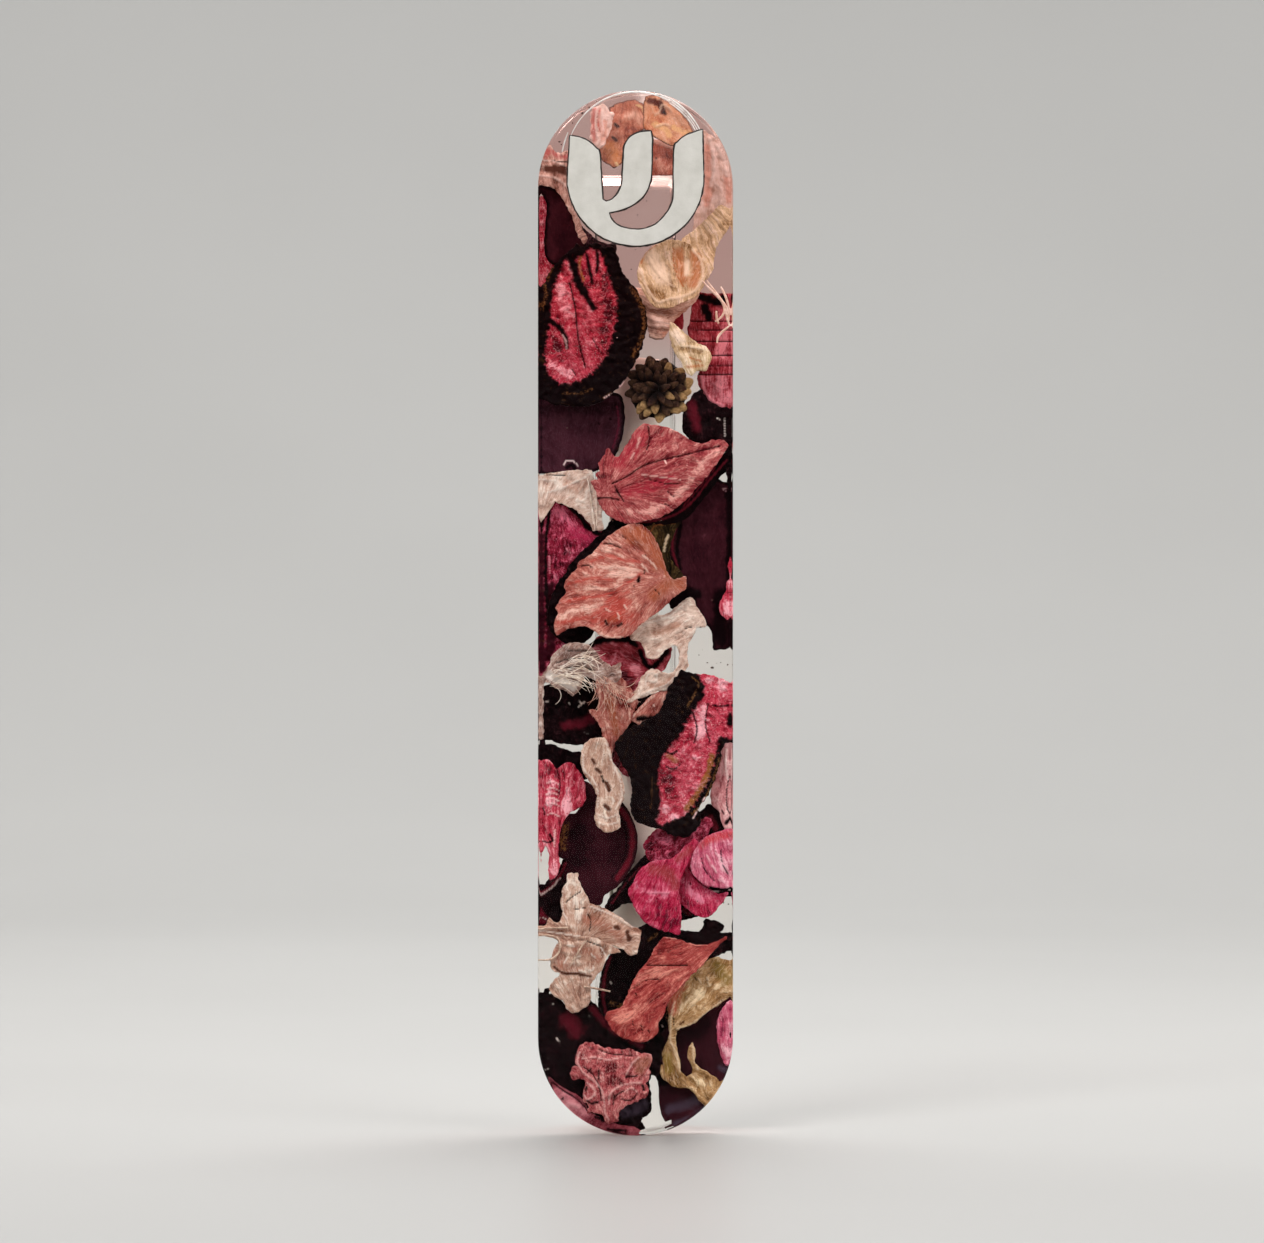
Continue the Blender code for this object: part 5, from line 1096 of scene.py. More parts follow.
        ("crest", 0.09, [(-10.4, 35.0), (-10.4, 32.4), (-9.8, 30.9)]),
        ("crest", 0.10, [(-13.6, 29.4), (-10.8, 29.0), (-8.0, 28.6)])])),
    ("beige_crumpled_petal", "strip", "sheer", (-7.0, 15.0), dict(shape=[
        (-11.8, 25.6), (-11.2, 27.2), (-9.6, 28.2), (-7.0, 28.4), (-4.4, 27.6), (-2.2, 26.4), (-4.0, 26.0),
        (-4.7, 24.6), (-5.5, 23.4), (-6.4, 22.2), (-6.6, 20.6), (-6.6, 19.4), (-7.4, 18.4), (-8.6, 17.8),
        (-9.6, 18.2), (-10.2, 19.4), (-11.4, 20.2), (-12.2, 21.0), (-11.4, 22.2), (-10.4, 23.2),
        (-11.4, 23.6), (-11.9, 24.4)], opacity=0.96, grow=0.16, marks=[
        ("tint", 0.9, [(-11.0, 26.4), (-10.8, 24.6), (-9.2, 24.0)]),
        ("tint", 0.6, [(-8.6, 26.6), (-6.4, 26.4), (-5.4, 25.2)]),
        ("rim", 0.22, [(-11.6, 24.2), (-10.4, 23.3), (-8.4, 23.2), (-6.4, 22.8)]),
        ("crest", 0.13, [(-9.7, 27.3), (-8.7, 27.2)]), ("crest", 0.12, [(-8.6, 25.6), (-8.0, 25.7)]),
        ("crest", 0.12, [(-10.2, 24.8), (-9.6, 25.6)]), ("crest", 0.14, [(-8.0, 23.7), (-7.4, 23.5)]),
        ("crest", 0.12, [(-6.4, 23.6), (-5.9, 24.0)]), ("crest", 0.12, [(-6.3, 26.0), (-5.8, 25.6)]),
        ("crest", 0.08, [(-5.0, 27.0), (-4.4, 26.2), (-4.3, 25.0)]),
        ("fold", 0.08, [(-11.0, 28.0), (-8.0, 28.1), (-5.0, 27.2)])])),
    ("coral_petal", "coral", "veined", (14.0, 29.0), dict(shape=[
        (2.9, 27.0), (4.0, 28.4), (6.0, 28.1), (8.6, 27.3), (10.6, 27.4), (13.0, 28.4), (11.6, 27.0),
        (10.2, 25.6), (9.6, 24.6), (8.2, 23.3), (6.8, 21.8), (5.2, 20.1), (4.4, 18.8), (3.9, 17.2),
        (3.2, 16.3), (3.1, 14.9), (2.0, 13.8), (0.8, 13.5), (-1.0, 13.8), (-2.6, 14.6), (-3.6, 15.8),
        (-4.3, 17.0), (-3.8, 17.8), (-2.2, 18.2), (-1.4, 19.4), (-0.6, 21.4), (0.4, 23.2), (2.0, 25.2)],
        grow=0.08, marks=[
        ("crest", 0.08, [(4.4, 28.4), (6.6, 28.2), (8.4, 27.4), (10.4, 27.3)]),
        ("shade", 0.5, [(4.0, 27.6), (3.4, 26.2)]),
        ("light", 0.8, [(0.6, 22.4), (3.6, 23.2), (6.6, 23.6)]),
        ("light", 0.7, [(-2.8, 16.6), (-0.4, 17.4), (1.4, 18.6)]),
        ("fold", 0.07, [(1.6, 24.4), (4.4, 24.4), (7.4, 24.4)]),
        ("fold", 0.06, [(-0.4, 21.0), (1.4, 22.2), (3.4, 22.4)]),
        ("fold", 0.08, [(0.8, 15.8), (1.0, 14.8)]), ("fold", 0.08, [(1.8, 15.2), (2.0, 14.6)]),
        ("fold", 0.07, [(-0.4, 16.4), (-0.3, 15.6)]), ("dark", 0.09, [(0.0, 20.4), (0.2, 20.2)])])),
    ("maroon_petal_under_coral", "black", "lumpy", (2.0, 34.0), dict(shape=[
        (0.7, 29.4), (1.8, 30.0), (3.6, 29.7), (5.0, 29.5), (7.0, 28.9), (9.4, 28.8), (9.9, 29.6),
        (10.2, 30.6), (10.9, 30.4), (11.4, 30.5), (12.3, 29.9), (11.8, 29.2), (12.2, 28.7),
        (13.9, 28.7), (13.9, 26.9), (12.8, 26.6), (11.6, 26.0), (10.8, 25.2), (9.6, 24.0), (9.0, 22.0),
        (5.6, 20.0), (4.6, 18.0), (4.6, 13.0), (2.6, 12.6), (0.8, 13.0), (-1.4, 13.2), (-3.4, 14.6),
        (-4.6, 16.6), (-4.9, 18.8), (-4.7, 21.8), (-4.0, 24.6), (-3.0, 26.2), (-1.4, 26.7),
        (-0.4, 25.8), (0.2, 26.4), (0.6, 27.6)], marks=[
        ("warm", 0.24, [(-3.6, 25.6), (-4.4, 22.6), (-4.6, 19.6), (-4.2, 17.6)]),
        ("bark", 0.4, [(-2.2, 18.6), (-3.4, 18.8)]), ("bark", 0.25, [(1.8, 28.0), (3.0, 28.8)]),
        ("bark", 0.2, [(4.6, 18.2), (4.5, 16.4)]), ("pale", 0.06, [(3.8, 15.9), (3.9, 15.4)]),
        ("crest", 0.10, [(-3.6, 22.0), (-3.5, 21.8)])])),
    ("tan_hooked_petal", "tan", "veined", (4.0, 14.0), dict(shape=[
        (7.6, 22.6), (8.6, 23.4), (9.6, 24.4), (10.6, 25.2), (11.6, 25.6), (12.4, 25.2), (13.9, 25.0),
        (13.9, 20.6), (12.4, 19.2), (10.2, 17.6), (8.0, 16.0), (6.2, 15.3), (5.7, 13.8), (5.9, 12.0),
        (6.3, 10.6), (6.4, 9.2), (7.2, 8.3), (8.2, 8.9), (8.1, 10.0), (7.6, 11.0), (7.6, 12.2),
        (8.1, 13.2), (8.4, 12.2), (8.5, 10.4), (9.2, 9.5), (10.6, 8.7), (12.2, 7.5), (11.2, 5.8),
        (9.6, 4.5), (8.6, 5.9), (7.6, 6.9), (6.2, 6.8), (4.8, 7.4), (3.8, 8.6), (3.5, 10.2),
        (3.9, 11.8), (4.7, 13.6), (4.9, 15.6), (4.7, 17.6), (4.8, 19.4), (5.8, 21.0)],
        bowl=0.3, grow=0.08, marks=[
        ("rosy", 0.9, [(5.2, 18.0), (5.6, 20.2), (6.4, 21.6)]),
        ("crest", 0.11, [(5.6, 19.2), (5.1, 17.2), (5.0, 15.4), (5.0, 13.6), (5.9, 11.4), (6.4, 9.0)]),
        ("crest", 0.11, [(5.8, 15.2), (8.0, 16.0), (10.4, 17.8), (12.6, 19.4)]),
        ("crest", 0.10, [(8.2, 13.0), (8.4, 10.4), (9.0, 9.4)]),
        ("light", 0.6, [(9.4, 7.8), (11.2, 7.0)]), ("light", 0.8, [(6.8, 18.0), (9.2, 20.2)]),
        ("crest", 0.08, [(9.0, 22.6), (9.6, 21.2)]), ("crest", 0.08, [(10.2, 22.8), (10.6, 21.4)]),
        ("tint", 1.0, [(11.8, 24.4), (12.8, 22.4)]), ("tint", 0.7, [(4.6, 11.4), (4.9, 9.4)]),
        ("fold", 0.08, [(5.4, 16.8), (5.5, 15.8)]),
        ("dark", 0.14, [(8.5, 22.6), (8.7, 22.3)]), ("rim", 0.18, [(6.4, 15.9), (6.9, 16.3)])])),
    ("pink_strip_lower_right", "pinkpale", "veined", (13.2, 2.0), dict(shape=[
        (13.9, 19.6), (12.7, 18.5), (11.9, 16.8), (11.7, 15.0), (11.9, 13.0), (12.4, 11.2), (12.9, 10.1),
        (13.5, 9.8), (13.8, 11.2), (13.6, 13.0), (13.4, 15.0), (13.6, 16.4), (13.9, 17.4)], grow=0.04,
        marks=[("shade", 0.4, [(12.6, 16.6), (12.4, 13.6)]), ("light", 0.35, [(13.0, 12.4), (13.3, 10.6)])])),
    ("black_petal_bottom", "black", "lumpy", (-6.0, 34.0), dict(shape=[
        (-13.9, 20.6), (-13.2, 20.2), (-12.9, 20.9), (-12.4, 20.8), (-12.3, 20.1), (-11.0, 19.8),
        (-10.0, 18.6), (-8.6, 18.0), (-7.4, 18.6), (-6.4, 19.2), (-4.8, 17.6), (-3.4, 15.4),
        (-1.6, 14.2), (1.0, 13.4), (3.4, 13.0), (3.8, 10.4), (3.2, 8.6), (2.2, 8.6), (1.9, 7.6),
        (2.1, 5.6), (2.2, 4.0), (1.8, 3.0), (0.9, 2.6), (0.8, 1.8), (1.2, 1.0), (0.4, 0.6), (-1.0, -0.5),
        (-5.0, 0.2), (-9.0, 2.0), (-12.4, 5.8), (-13.9, 10.0)], grow=0.05, marks=[
        ("tint", 1.3, [(-9.6, 16.4), (-8.6, 15.2)]),
        ("tint", 0.5, [(-6.2, 18.2), (-5.0, 16.8), (-3.2, 15.0), (0.8, 12.8)]),
        ("pale", 0.11, [(-11.3, 13.9), (-10.9, 13.4), (-10.8, 13.2)]),
        ("plumy", 0.9, [(-1.6, 3.2), (0.2, 3.8), (1.0, 4.4)]),
        ("crest", 0.07, [(-11.8, 18.9), (-11.7, 18.7)]), ("crest", 0.07, [(-12.5, 9.6), (-12.5, 9.3)]),
        ("crest", 0.06, [(-6.6, 17.2), (-6.5, 17.0)]), ("crest", 0.07, [(-12.6, 10.9), (-12.5, 10.7)])])),
    ("dusty_rose_petal", "rose", "crinkled", (-3.4, -1.0), dict(shape=[
        (-8.3, 11.8), (-7.6, 13.0), (-6.6, 13.3), (-5.6, 13.0), (-4.2, 12.5), (-2.2, 12.4), (-0.8, 12.3),
        (0.4, 11.8), (2.0, 11.7), (2.4, 11.2), (2.0, 9.8), (1.9, 8.4), (1.4, 7.6), (1.7, 6.6), (1.4, 5.6),
        (0.6, 5.3), (-0.6, 4.6), (-1.8, 4.1), (-2.4, 3.4), (-2.6, 2.2), (-3.6, 1.8), (-4.2, 2.0),
        (-4.8, 3.0), (-6.0, 3.4), (-6.9, 3.2), (-6.6, 4.2), (-7.4, 5.2), (-7.5, 6.2), (-7.0, 7.4),
        (-7.4, 8.2), (-8.8, 8.1), (-9.3, 8.9), (-8.9, 9.7), (-8.2, 9.9), (-8.5, 10.6)], grow=0.06, marks=[
        ("crest", 0.12, [(-8.0, 12.0), (-8.3, 10.6), (-7.6, 9.2), (-6.0, 7.9), (-4.9, 6.6), (-4.5, 5.0),
                         (-4.4, 3.4), (-3.8, 2.2)]),
        ("fold", 0.14, [(-7.4, 9.8), (-6.2, 8.8), (-5.2, 7.0), (-4.9, 5.0)]),
        ("dark", 0.18, [(-7.0, 7.0), (-7.1, 6.4)]), ("dark", 0.16, [(-6.4, 9.6), (-6.9, 9.0)]),
        ("dark", 0.22, [(-5.4, 4.8), (-6.4, 4.6), (-6.9, 5.0)]), ("dark", 0.14, [(-5.2, 9.4), (-5.3, 8.2)]),
        ("crest", 0.13, [(-7.0, 7.6), (-6.2, 7.0), (-5.8, 6.0), (-6.8, 5.2), (-7.4, 5.8)]),
        ("crest", 0.12, [(0.6, 11.3), (-0.6, 10.2), (-1.3, 8.8)]),
        ("crest", 0.09, [(-7.6, 11.0), (-6.0, 11.2), (-4.0, 10.9), (-2.0, 11.2)]),
        ("crest", 0.09, [(-4.8, 9.2), (-4.6, 8.0), (-5.0, 7.8)]),
        ("fold", 0.09, [(-5.2, 12.3), (-3.4, 11.7), (-0.4, 11.4)]),
        ("crest", 0.11, [(-3.8, 4.4), (-3.6, 6.0), (-2.4, 7.0), (-0.8, 7.5), (0.8, 7.6)]),
        ("fold", 0.12, [(-3.2, 4.4), (-2.9, 5.6), (-1.6, 6.4)]), ("dark", 0.16, [(-1.4, 8.4), (0.2, 8.6)]),
        ("dark", 0.20, [(1.0, 7.2), (1.2, 6.6)]), ("fold", 0.10, [(-2.0, 5.2), (-0.8, 5.0), (0.2, 5.8)]),
        ("crest", 0.09, [(-1.6, 6.2), (-0.6, 6.9), (0.2, 6.2)]),
        ("tint", 0.9, [(0.4, 10.4), (1.6, 10.6), (0.6, 9.4)]), ("shade", 0.9, [(-4.0, 9.8), (-3.4, 8.0)])])),
    ("rose_rim_petal", "rimrose", "smooth", (0.0, 14.0), dict(shape=[
        (-13.9, 12.6), (-13.2, 11.4), (-12.7, 9.2), (-11.4, 7.5), (-9.8, 6.5), (-8.2, 5.7), (-7.2, 4.7),
        (-6.6, 3.4), (-4.4, 2.3), (-2.2, 1.5), (-0.2, 1.2), (0.8, 0.7), (-1.0, -0.5), (-5.0, 0.2),
        (-9.0, 2.0), (-12.4, 5.8), (-13.9, 9.6)], grow=0.0, lift=-0.3, marks=[
        ("dark", 0.5, [(-13.6, 12.4), (-13.2, 10.4), (-12.6, 8.6)]),
        ("light", 0.8, [(-11.2, 6.4), (-9.0, 4.6), (-7.2, 3.4)]),
        ("crest", 0.35, [(-9.6, 4.6), (-8.2, 4.2)]), ("fold", 0.14, [(-10.4, 5.4), (-10.2, 4.6)]),
        ("fold", 0.15, [(-12.4, 8.0), (-10.6, 6.6), (-8.2, 5.0), (-6.6, 3.2)]),
        ("dark", 0.30, [(-5.6, 2.6), (-4.6, 2.2)]), ("dark", 0.20, [(-4.0, 0.9), (-1.4, 0.7)])])),
    ("plum_petal", "maroon", "smooth", (7.0, -4.0), dict(shape=[
        (2.8, 12.8), (5.0, 15.8), (9.0, 17.8), (13.0, 20.0), (13.9, 19.4), (13.9, 10.0), (12.6, 6.0),
        (9.0, 2.2), (5.4, 0.6), (4.2, 1.0), (5.2, 1.5), (5.2, 2.2), (4.3, 1.9), (3.7, 3.0), (3.4, 5.2),
        (3.3, 7.4), (2.7, 8.6), (2.0, 8.7), (2.2, 10.4)], grow=0.04, marks=[
        ("shade", 1.5, [(6.6, 13.4), (9.6, 15.6)]), ("dark", 0.6, [(3.2, 12.0), (2.9, 9.6), (4.0, 7.4)]),
        ("plumy", 0.8, [(4.8, 3.6), (8.0, 4.6), (10.0, 5.8)]),
        ("plumy", 0.45, [(5.8, 1.6), (8.4, 2.7), (10.6, 4.4)]),
        ("plumy", 0.5, [(12.0, 9.6), (13.0, 9.0)])])),
]


def make_petals():
    """Makes every sheet of the table. Its row is the seed of its crumples."""
    for seed, (name, tone, kind, spring, extra) in enumerate(PETALS, start=1):
        make_petal(name, tone, kind, spring, seed, **extra)


# ---------------------------------------------------------------- alder cone

def cone_material():
    """Dark woody scales with paler tips. Each scale is painted nearly black at its foot, as the shade of the
    scales over it.
    """
    shader = Shader("alder_scales")
    place = shader.place()
    tip = shader.attribute("tip").outputs["Fac"]
    grain = shader.noise(place, 2.4, 4.0, 0.65)
    wood = shader.ramp(grain, [(0.3, rgb(18, 8, 10)), (0.55, rgb(46, 26, 24)), (0.8, rgb(94, 66, 56))])
    # Painted shade: the foot of each scale and the whole core go nearly black.
    wood = shader.mix(shader.attribute("reach").outputs["Fac"], rgb(6, 2, 2), wood)
    pale = shader.ramp(grain, [(0.3, rgb(110, 84, 54)), (0.6, rgb(166, 138, 94)), (0.8, rgb(214, 190, 146))])
    shader.set(Base_Color=shader.mix(tip, wood, pale), Roughness=0.45, Specular_IOR_Level=0.06)
    shader.bump(grain, 0.14)
    return shader.material


# The scales of a cone follow one another by the golden angle, in degrees.
GOLDEN_TURN = 137.5


def make_alder_cone():
    """Pointed scales that overlap in a spiral over a flattened dome, round a core painted nearly black as the
    shade between them.
    """
    low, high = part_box("alder_cone")
    centre = (low + high) / 2
    radius = (high.x - low.x) / 2
    depth = (high.y - low.y) / 2
    chance = random.Random(5)
    count, rows, columns = 44, 9, 8
    vertices, faces, tips, unshaded = [], [], [], []

    def dome(share):
        return -depth * math.sqrt(max(0.0, 1 - (share / 1.08) ** 2))

    for index in range(count):
        share = (index + 0.5) / count
        reach = 0.06 + 0.74 * math.sqrt(share)
        turn = index * math.radians(GOLDEN_TURN) + chance.uniform(-0.15, 0.15)
        out = Vector((math.cos(turn), 0.0, math.sin(turn)))
        side = Vector((-math.sin(turn), 0.0, math.cos(turn)))
        width = radius * chance.uniform(0.15, 0.20) * (0.7 + 0.4 * share)
        lift = depth * chance.uniform(0.10, 0.34)
        bend = chance.uniform(-0.10, 0.10)
        # Pale tips are the scales' own colour, but more of them go on one side, towards_light, as painted
        # highlights.
        towards_light = 0.5 + 0.5 * math.cos(turn + 1.0)
        has_tip = chance.random() < 0.06 + 0.85 * towards_light * share
        first = len(vertices)
        for row in range(rows):
            u = row / (rows - 1)
            along = max(0.0, reach - 0.27 + 0.47 * u)
            half = width * math.sin(math.pi * (0.12 + 0.84 * u)) ** 0.75
            rise = dome(along) * 0.88 - lift * u ** 2 + depth * 0.16 * (1 - u)
            spine = out * along * radius + side * bend * radius * u ** 2 + Vector((0.0, rise, 0.0))
            thick = radius * (0.020 + 0.030 * math.sin(math.pi * u))
            for column in range(columns):
                angle = 2 * math.pi * column / columns
                keel = -0.25 * thick * (1 + math.cos(2 * angle))
                offset = Vector((0.0, thick * math.sin(angle) - keel, 0.0))
                vertices.append(centre + spine + side * half * math.cos(angle) + offset)
                tips.append(smoothstep(0.42, 0.66, u) * (0.9 if has_tip else 0.14 * chance.random()))
                unshaded.append(smoothstep(0.25, 0.85, u))
        faces += quads(first, rows, columns, closed=True)
        faces.append(tuple(first + column for column in reversed(range(columns))))
        faces.append(tuple(first + (rows - 1) * columns + column for column in range(columns)))
    core = Vector((radius * 0.80, depth * 0.60, radius * 0.80))
    add_ball(vertices, faces, lambda spot: centre + spot * core * (1 + 0.10 * noise.noise(spot * 6)), 4)
    # The core gets no tips and full painted shade.
    bare = [0.0] * (len(vertices) - len(tips))
    tips += bare
    unshaded += bare
    cone = new_object("alder_cone_scales", vertices, faces)
    set_attribute(cone, "tip", "FLOAT", tips)
    set_attribute(cone, "reach", "FLOAT", unshaded)
    soften = cone.modifiers.new("rounded", "SUBSURF")
    soften.levels = 1
    soften.render_levels = 1
    cone.data.materials.append(cone_material())
    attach(cone, "case")
    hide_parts("alder_cone")


# ---------------------------------------------------------------- fibres

def strand_material(name, dark, light):
    shader = Shader(name)
    grain = shader.noise(shader.place(), 1.6, 3.0, 0.6)
    shader.set(Base_Color=shader.ramp(grain, [(0.35, dark), (0.65, light)]), Roughness=0.4)
    return shader.material


def make_strands(name, strands, thickness, material, replaced=None):
    """Round fibres along given lines of (x, height, depth), thin at both ends."""
    curve = bpy.data.curves.new(name, "CURVE")
    curve.dimensions = "3D"
    curve.bevel_depth = thickness * MM
    curve.bevel_resolution = 1
    curve.use_fill_caps = True
    for line in strands:
        count = len(line)
        path = curve.splines.new("NURBS")
        path.points.add(count - 1)
        path.order_u = min(4, count)
        path.use_endpoint_u = True
        path.resolution_u = 4
        for index, (point, (x, height, y)) in enumerate(zip(path.points, line)):
            spot = kept_inside(np.array([[x, height]]))[0]
            point.co = (*at(spot[0], spot[1], y), 1.0)
            point.radius = 0.35 + 0.65 * math.sin(math.pi * (index + 0.4) / (count - 0.2))
    obj = linked(name, curve)
    curve.materials.append(material)
    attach(obj, "case")
    if replaced:
        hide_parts(replaced)


def at_depth(lines, y):
    return [[(x, height, y) for x, height in line] for line in lines]


def curved_line(x, height, heading, bend, length, y, steps=6):
    """A line that starts at a point and bends evenly, in degrees for each step."""
    points = [(x, height, y)]
    angle = math.radians(heading)
    for _ in range(steps):
        x += length / steps * math.cos(angle)
        height += length / steps * math.sin(angle)
        angle += math.radians(bend)
        points.append((x, height, y))
    return points


def make_fibres():
    """Loose fibres and hairs. Each lies just in front of the petal that it belongs to."""
    pale = strand_material("pale_fibre", rgb(208, 186, 164), rgb(250, 245, 236))
    brown = strand_material("drape_fibre", rgb(160, 104, 92), rgb(232, 196, 176))
    beige = strand_material("curl_fibre", rgb(150, 118, 100), rgb(226, 204, 184))
    upper_right = [
        [(9.4, 122.9), (10.6, 121.6), (11.6, 120.7), (12.6, 119.6), (13.4, 118.4), (13.4, 117.0)],
        [(10.2, 122.8), (11.4, 121.2), (12.4, 119.9), (13.0, 118.6), (12.4, 117.4), (11.4, 116.9)],
        [(12.2, 121.9), (13.0, 120.6), (13.4, 119.2), (13.5, 117.8)],
        [(12.9, 118.9), (13.0, 117.4), (13.5, 116.2)],
        [(13.4, 116.2), (12.6, 115.5), (11.6, 115.0), (11.7, 113.8)],
        [(11.6, 118.4), (11.5, 117.4), (11.9, 116.6)]]
    make_strands("cream_fibre_strands", at_depth(upper_right, layer_depth("cream_fibres") - 0.55), 0.24,
                 pale, "cream_fibres")
    chance = random.Random(21)
    tuft = layer_depth("feathery_tuft") - 0.62
    hairs = []
    for _ in range(54):
        x = chance.uniform(-12.4, -8.0)
        height = 64.6 + (x + 12.4) * 0.55 + chance.uniform(-0.4, 2.3)
        hairs.append(curved_line(x, height, chance.gauss(8, 16), chance.gauss(-7, 7),
                                 chance.uniform(2.6, 5.6), tuft - chance.uniform(0, 0.15)))
    make_strands("feathery_tuft_hairs", hairs, 0.055, pale)
    hairs = []
    for _ in range(34):
        x = chance.uniform(-6.2, -3.0)
        height = 66.0 - abs(x + 4.6) * 0.5
        hairs.append(curved_line(x, height, chance.gauss(-62, 13), chance.gauss(-5, 8),
                                 chance.uniform(2.6, 6.5), tuft - chance.uniform(0, 0.12)))
    make_strands("drape_hairs", hairs, 0.05, brown)
    left = [
        [(-6.6, 91.6), (-6.0, 89.8), (-5.9, 88.2), (-5.8, 86.9)],
        [(-6.9, 94.4), (-6.3, 92.4), (-6.4, 90.0), (-6.0, 87.8)],
        [(-5.6, 94.6), (-5.8, 92.0), (-5.4, 89.4), (-5.6, 87.6)]]
    make_strands("beige_petal_fibres", at_depth(left, layer_depth("beige_petal_left") - 0.5), 0.09, pale)
    lower_left = [
        [(-13.4, 28.7), (-11.4, 28.9), (-10.6, 27.6), (-10.9, 26.0), (-12.2, 25.0), (-13.6, 25.2)],
        [(-13.6, 29.6), (-12.2, 29.9), (-10.8, 29.7), (-9.6, 29.9)],
        [(-9.4, 24.2), (-8.6, 25.6), (-8.0, 27.0), (-7.0, 28.0)],
        [(-7.4, 21.4), (-6.0, 21.2), (-4.6, 20.9), (-3.6, 20.7)]]
    make_strands("lower_curl_fibres", at_depth(lower_left, layer_depth("beige_star_flower") - 0.4), 0.2,
                 beige)


def make_specks():
    """Crumbs of bark and petal that float in the clear parts, each a small irregular chip."""
    spots = [
        (9.1, 69.0, 0.10), (10.3, 67.9, 0.09), (11.0, 67.2, 0.16), (12.2, 67.9, 0.07), (13.2, 67.6, 0.09),
        (-6.6, 147.6, 0.20), (-5.6, 148.6, 0.18), (-7.6, 146.8, 0.13), (-9.0, 145.4, 0.12),
        (-10.9, 142.7, 0.16), (-10.6, 142.3, 0.12), (-4.6, 149.0, 0.10), (-0.6, 124.4, 0.08),
        (12.6, 33.4, 0.10), (13.3, 33.2, 0.08), (11.8, 33.7, 0.07), (-9.8, 101.6, 0.14),
        (0.0, 127.2, 0.07), (1.6, 134.2, 0.09), (0.3, 132.2, 0.10), (2.2, 131.0, 0.06)]
    chance = random.Random(9)
    depth = layer_depth("salmon_petal")
    vertices, faces = [], []
    for x, height, size in spots:
        stretch = Vector((chance.uniform(0.6, 1.5), chance.uniform(0.3, 0.7), chance.uniform(0.6, 1.5)))

        def chip(spot):
            bulge = 1 + 0.45 * noise.noise(spot * 1.7 + Vector((x, height, 0.0)))
            return at(x, height, depth) + spot * stretch * bulge * size * MM

        add_ball(vertices, faces, chip)
    specks = new_object("dark_crumbs", vertices, faces)
    shader = Shader("crumb")
    grain = shader.noise(shader.place(), 4.0)
    shader.set(Base_Color=shader.ramp(grain, [(0.3, rgb(14, 5, 6)), (0.7, rgb(70, 40, 30))]), Roughness=0.6)
    specks.data.materials.append(shader.material)
    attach(specks, "case")


# ---------------------------------------------------------------- clear resin case

def resin_material():
    """Clear resin: glass to the eye, and light passes through it to the petals and the floor.

    It is tinted in its upper part, satin at the back of its lower part and cloudy at the channel's end.
    """
    shader = Shader("clear_cast_resin")
    place = shader.place()
    across, behind, height = shader.split(place)

    def fade_up(low, high):
        return shader.fade(height, BOTTOM / MM + low, BOTTOM / MM + high)

    # The rose tint comes in over these heights.
    upper = fade_up(102, 118)
    tint = shader.mix(upper, rgb(250, 247, 242), rgb(226, 184, 177))
    shader.set(Base_Color=tint, Roughness=0.0, IOR=1.47, Transmission_Weight=1.0,
               Specular_IOR_Level=0.35, Specular_Tint=(0.1, 0.1, 0.1, 1.0))
    shader.bump(shader.noise(place, 0.09, 1.0), 0.25, 0.5)
    satin = shader.times(shader.fade(behind, -1.0, -0.2), shader.math("SUBTRACT", 1.0, upper))
    end = CHANNEL_HIGH - CHANNEL_DRAFT
    in_end = shader.times(fade_up(end - 0.8, end - 0.1),
                          shader.fade(behind, -CHANNEL_DEPTH - 0.2, -CHANNEL_DEPTH + 0.2))
    in_end = shader.times(in_end, shader.fade(shader.math("ABSOLUTE", across),
                                              CHANNEL_HALF + 0.3, CHANNEL_HALF + 0.1))
    cloud = shader.math("ADD", shader.noise(place, 0.5, 2.0), shader.times(across, 0.06))
    cloudy = shader.times(in_end, shader.fade(cloud, 0.45, 0.75))
    frosted = shader.math("MAXIMUM", shader.times(satin, 0.30), shader.times(cloudy, 0.85))
    matt = shader.node("ShaderNodeBsdfDiffuse", {0: rgb(246, 243, 238)}).outputs[0]
    through = shader.node("ShaderNodeBsdfTranslucent", {0: rgb(252, 250, 246)}).outputs[0]
    matt = shader.blend(0.5, matt, through)
    body = shader.blend(frosted, shader.surface.outputs[0], matt)
    shadow = shader.mix(fade_up(7.0, 1.0), (0.92, 0.86, 0.86, 1.0), (0.45, 0.33, 0.33, 1.0))
    passing = shader.node("ShaderNodeBsdfTransparent", {0: shadow}).outputs[0]
    shadow_ray = shader.node("ShaderNodeLightPath").outputs["Is Shadow Ray"]
    shader.tree.links.new(shader.blend(shadow_ray, body, passing), shader.output.inputs[0])
    return shader.material


def slot_loop(radius, low_centre, high_centre, steps):
    """A slot outline with evenly stepped round ends, anticlockwise from the right side."""
    points = []
    for centre, start in ((high_centre, 0.0), (low_centre, math.pi)):
        for step in range(steps + 1):
            angle = start + math.pi * step / steps
            points.append((radius * math.cos(angle), centre + radius * math.sin(angle)))
    return points


def channel_loop(grow, draft, steps):
    """The scroll channel's outline, with as many points as slot_loop gives."""
    corner = CHANNEL_CORNER
    side_x = CHANNEL_HALF + grow - corner
    low, high = CHANNEL_LOW - grow + corner, CHANNEL_HIGH + grow - draft - corner
    points = []
    for side, (x, z) in enumerate([(side_x, high), (-side_x, high), (-side_x, low), (side_x, low)]):
        count = (steps + 1) // 2 + (steps + 1) % 2 * (side % 2 == 0)
        for step in range(count):
            angle = math.pi / 2 * (side + step / max(1, count - 1))
            points.append((x + corner * math.cos(angle), z + corner * math.sin(angle)))
    return points


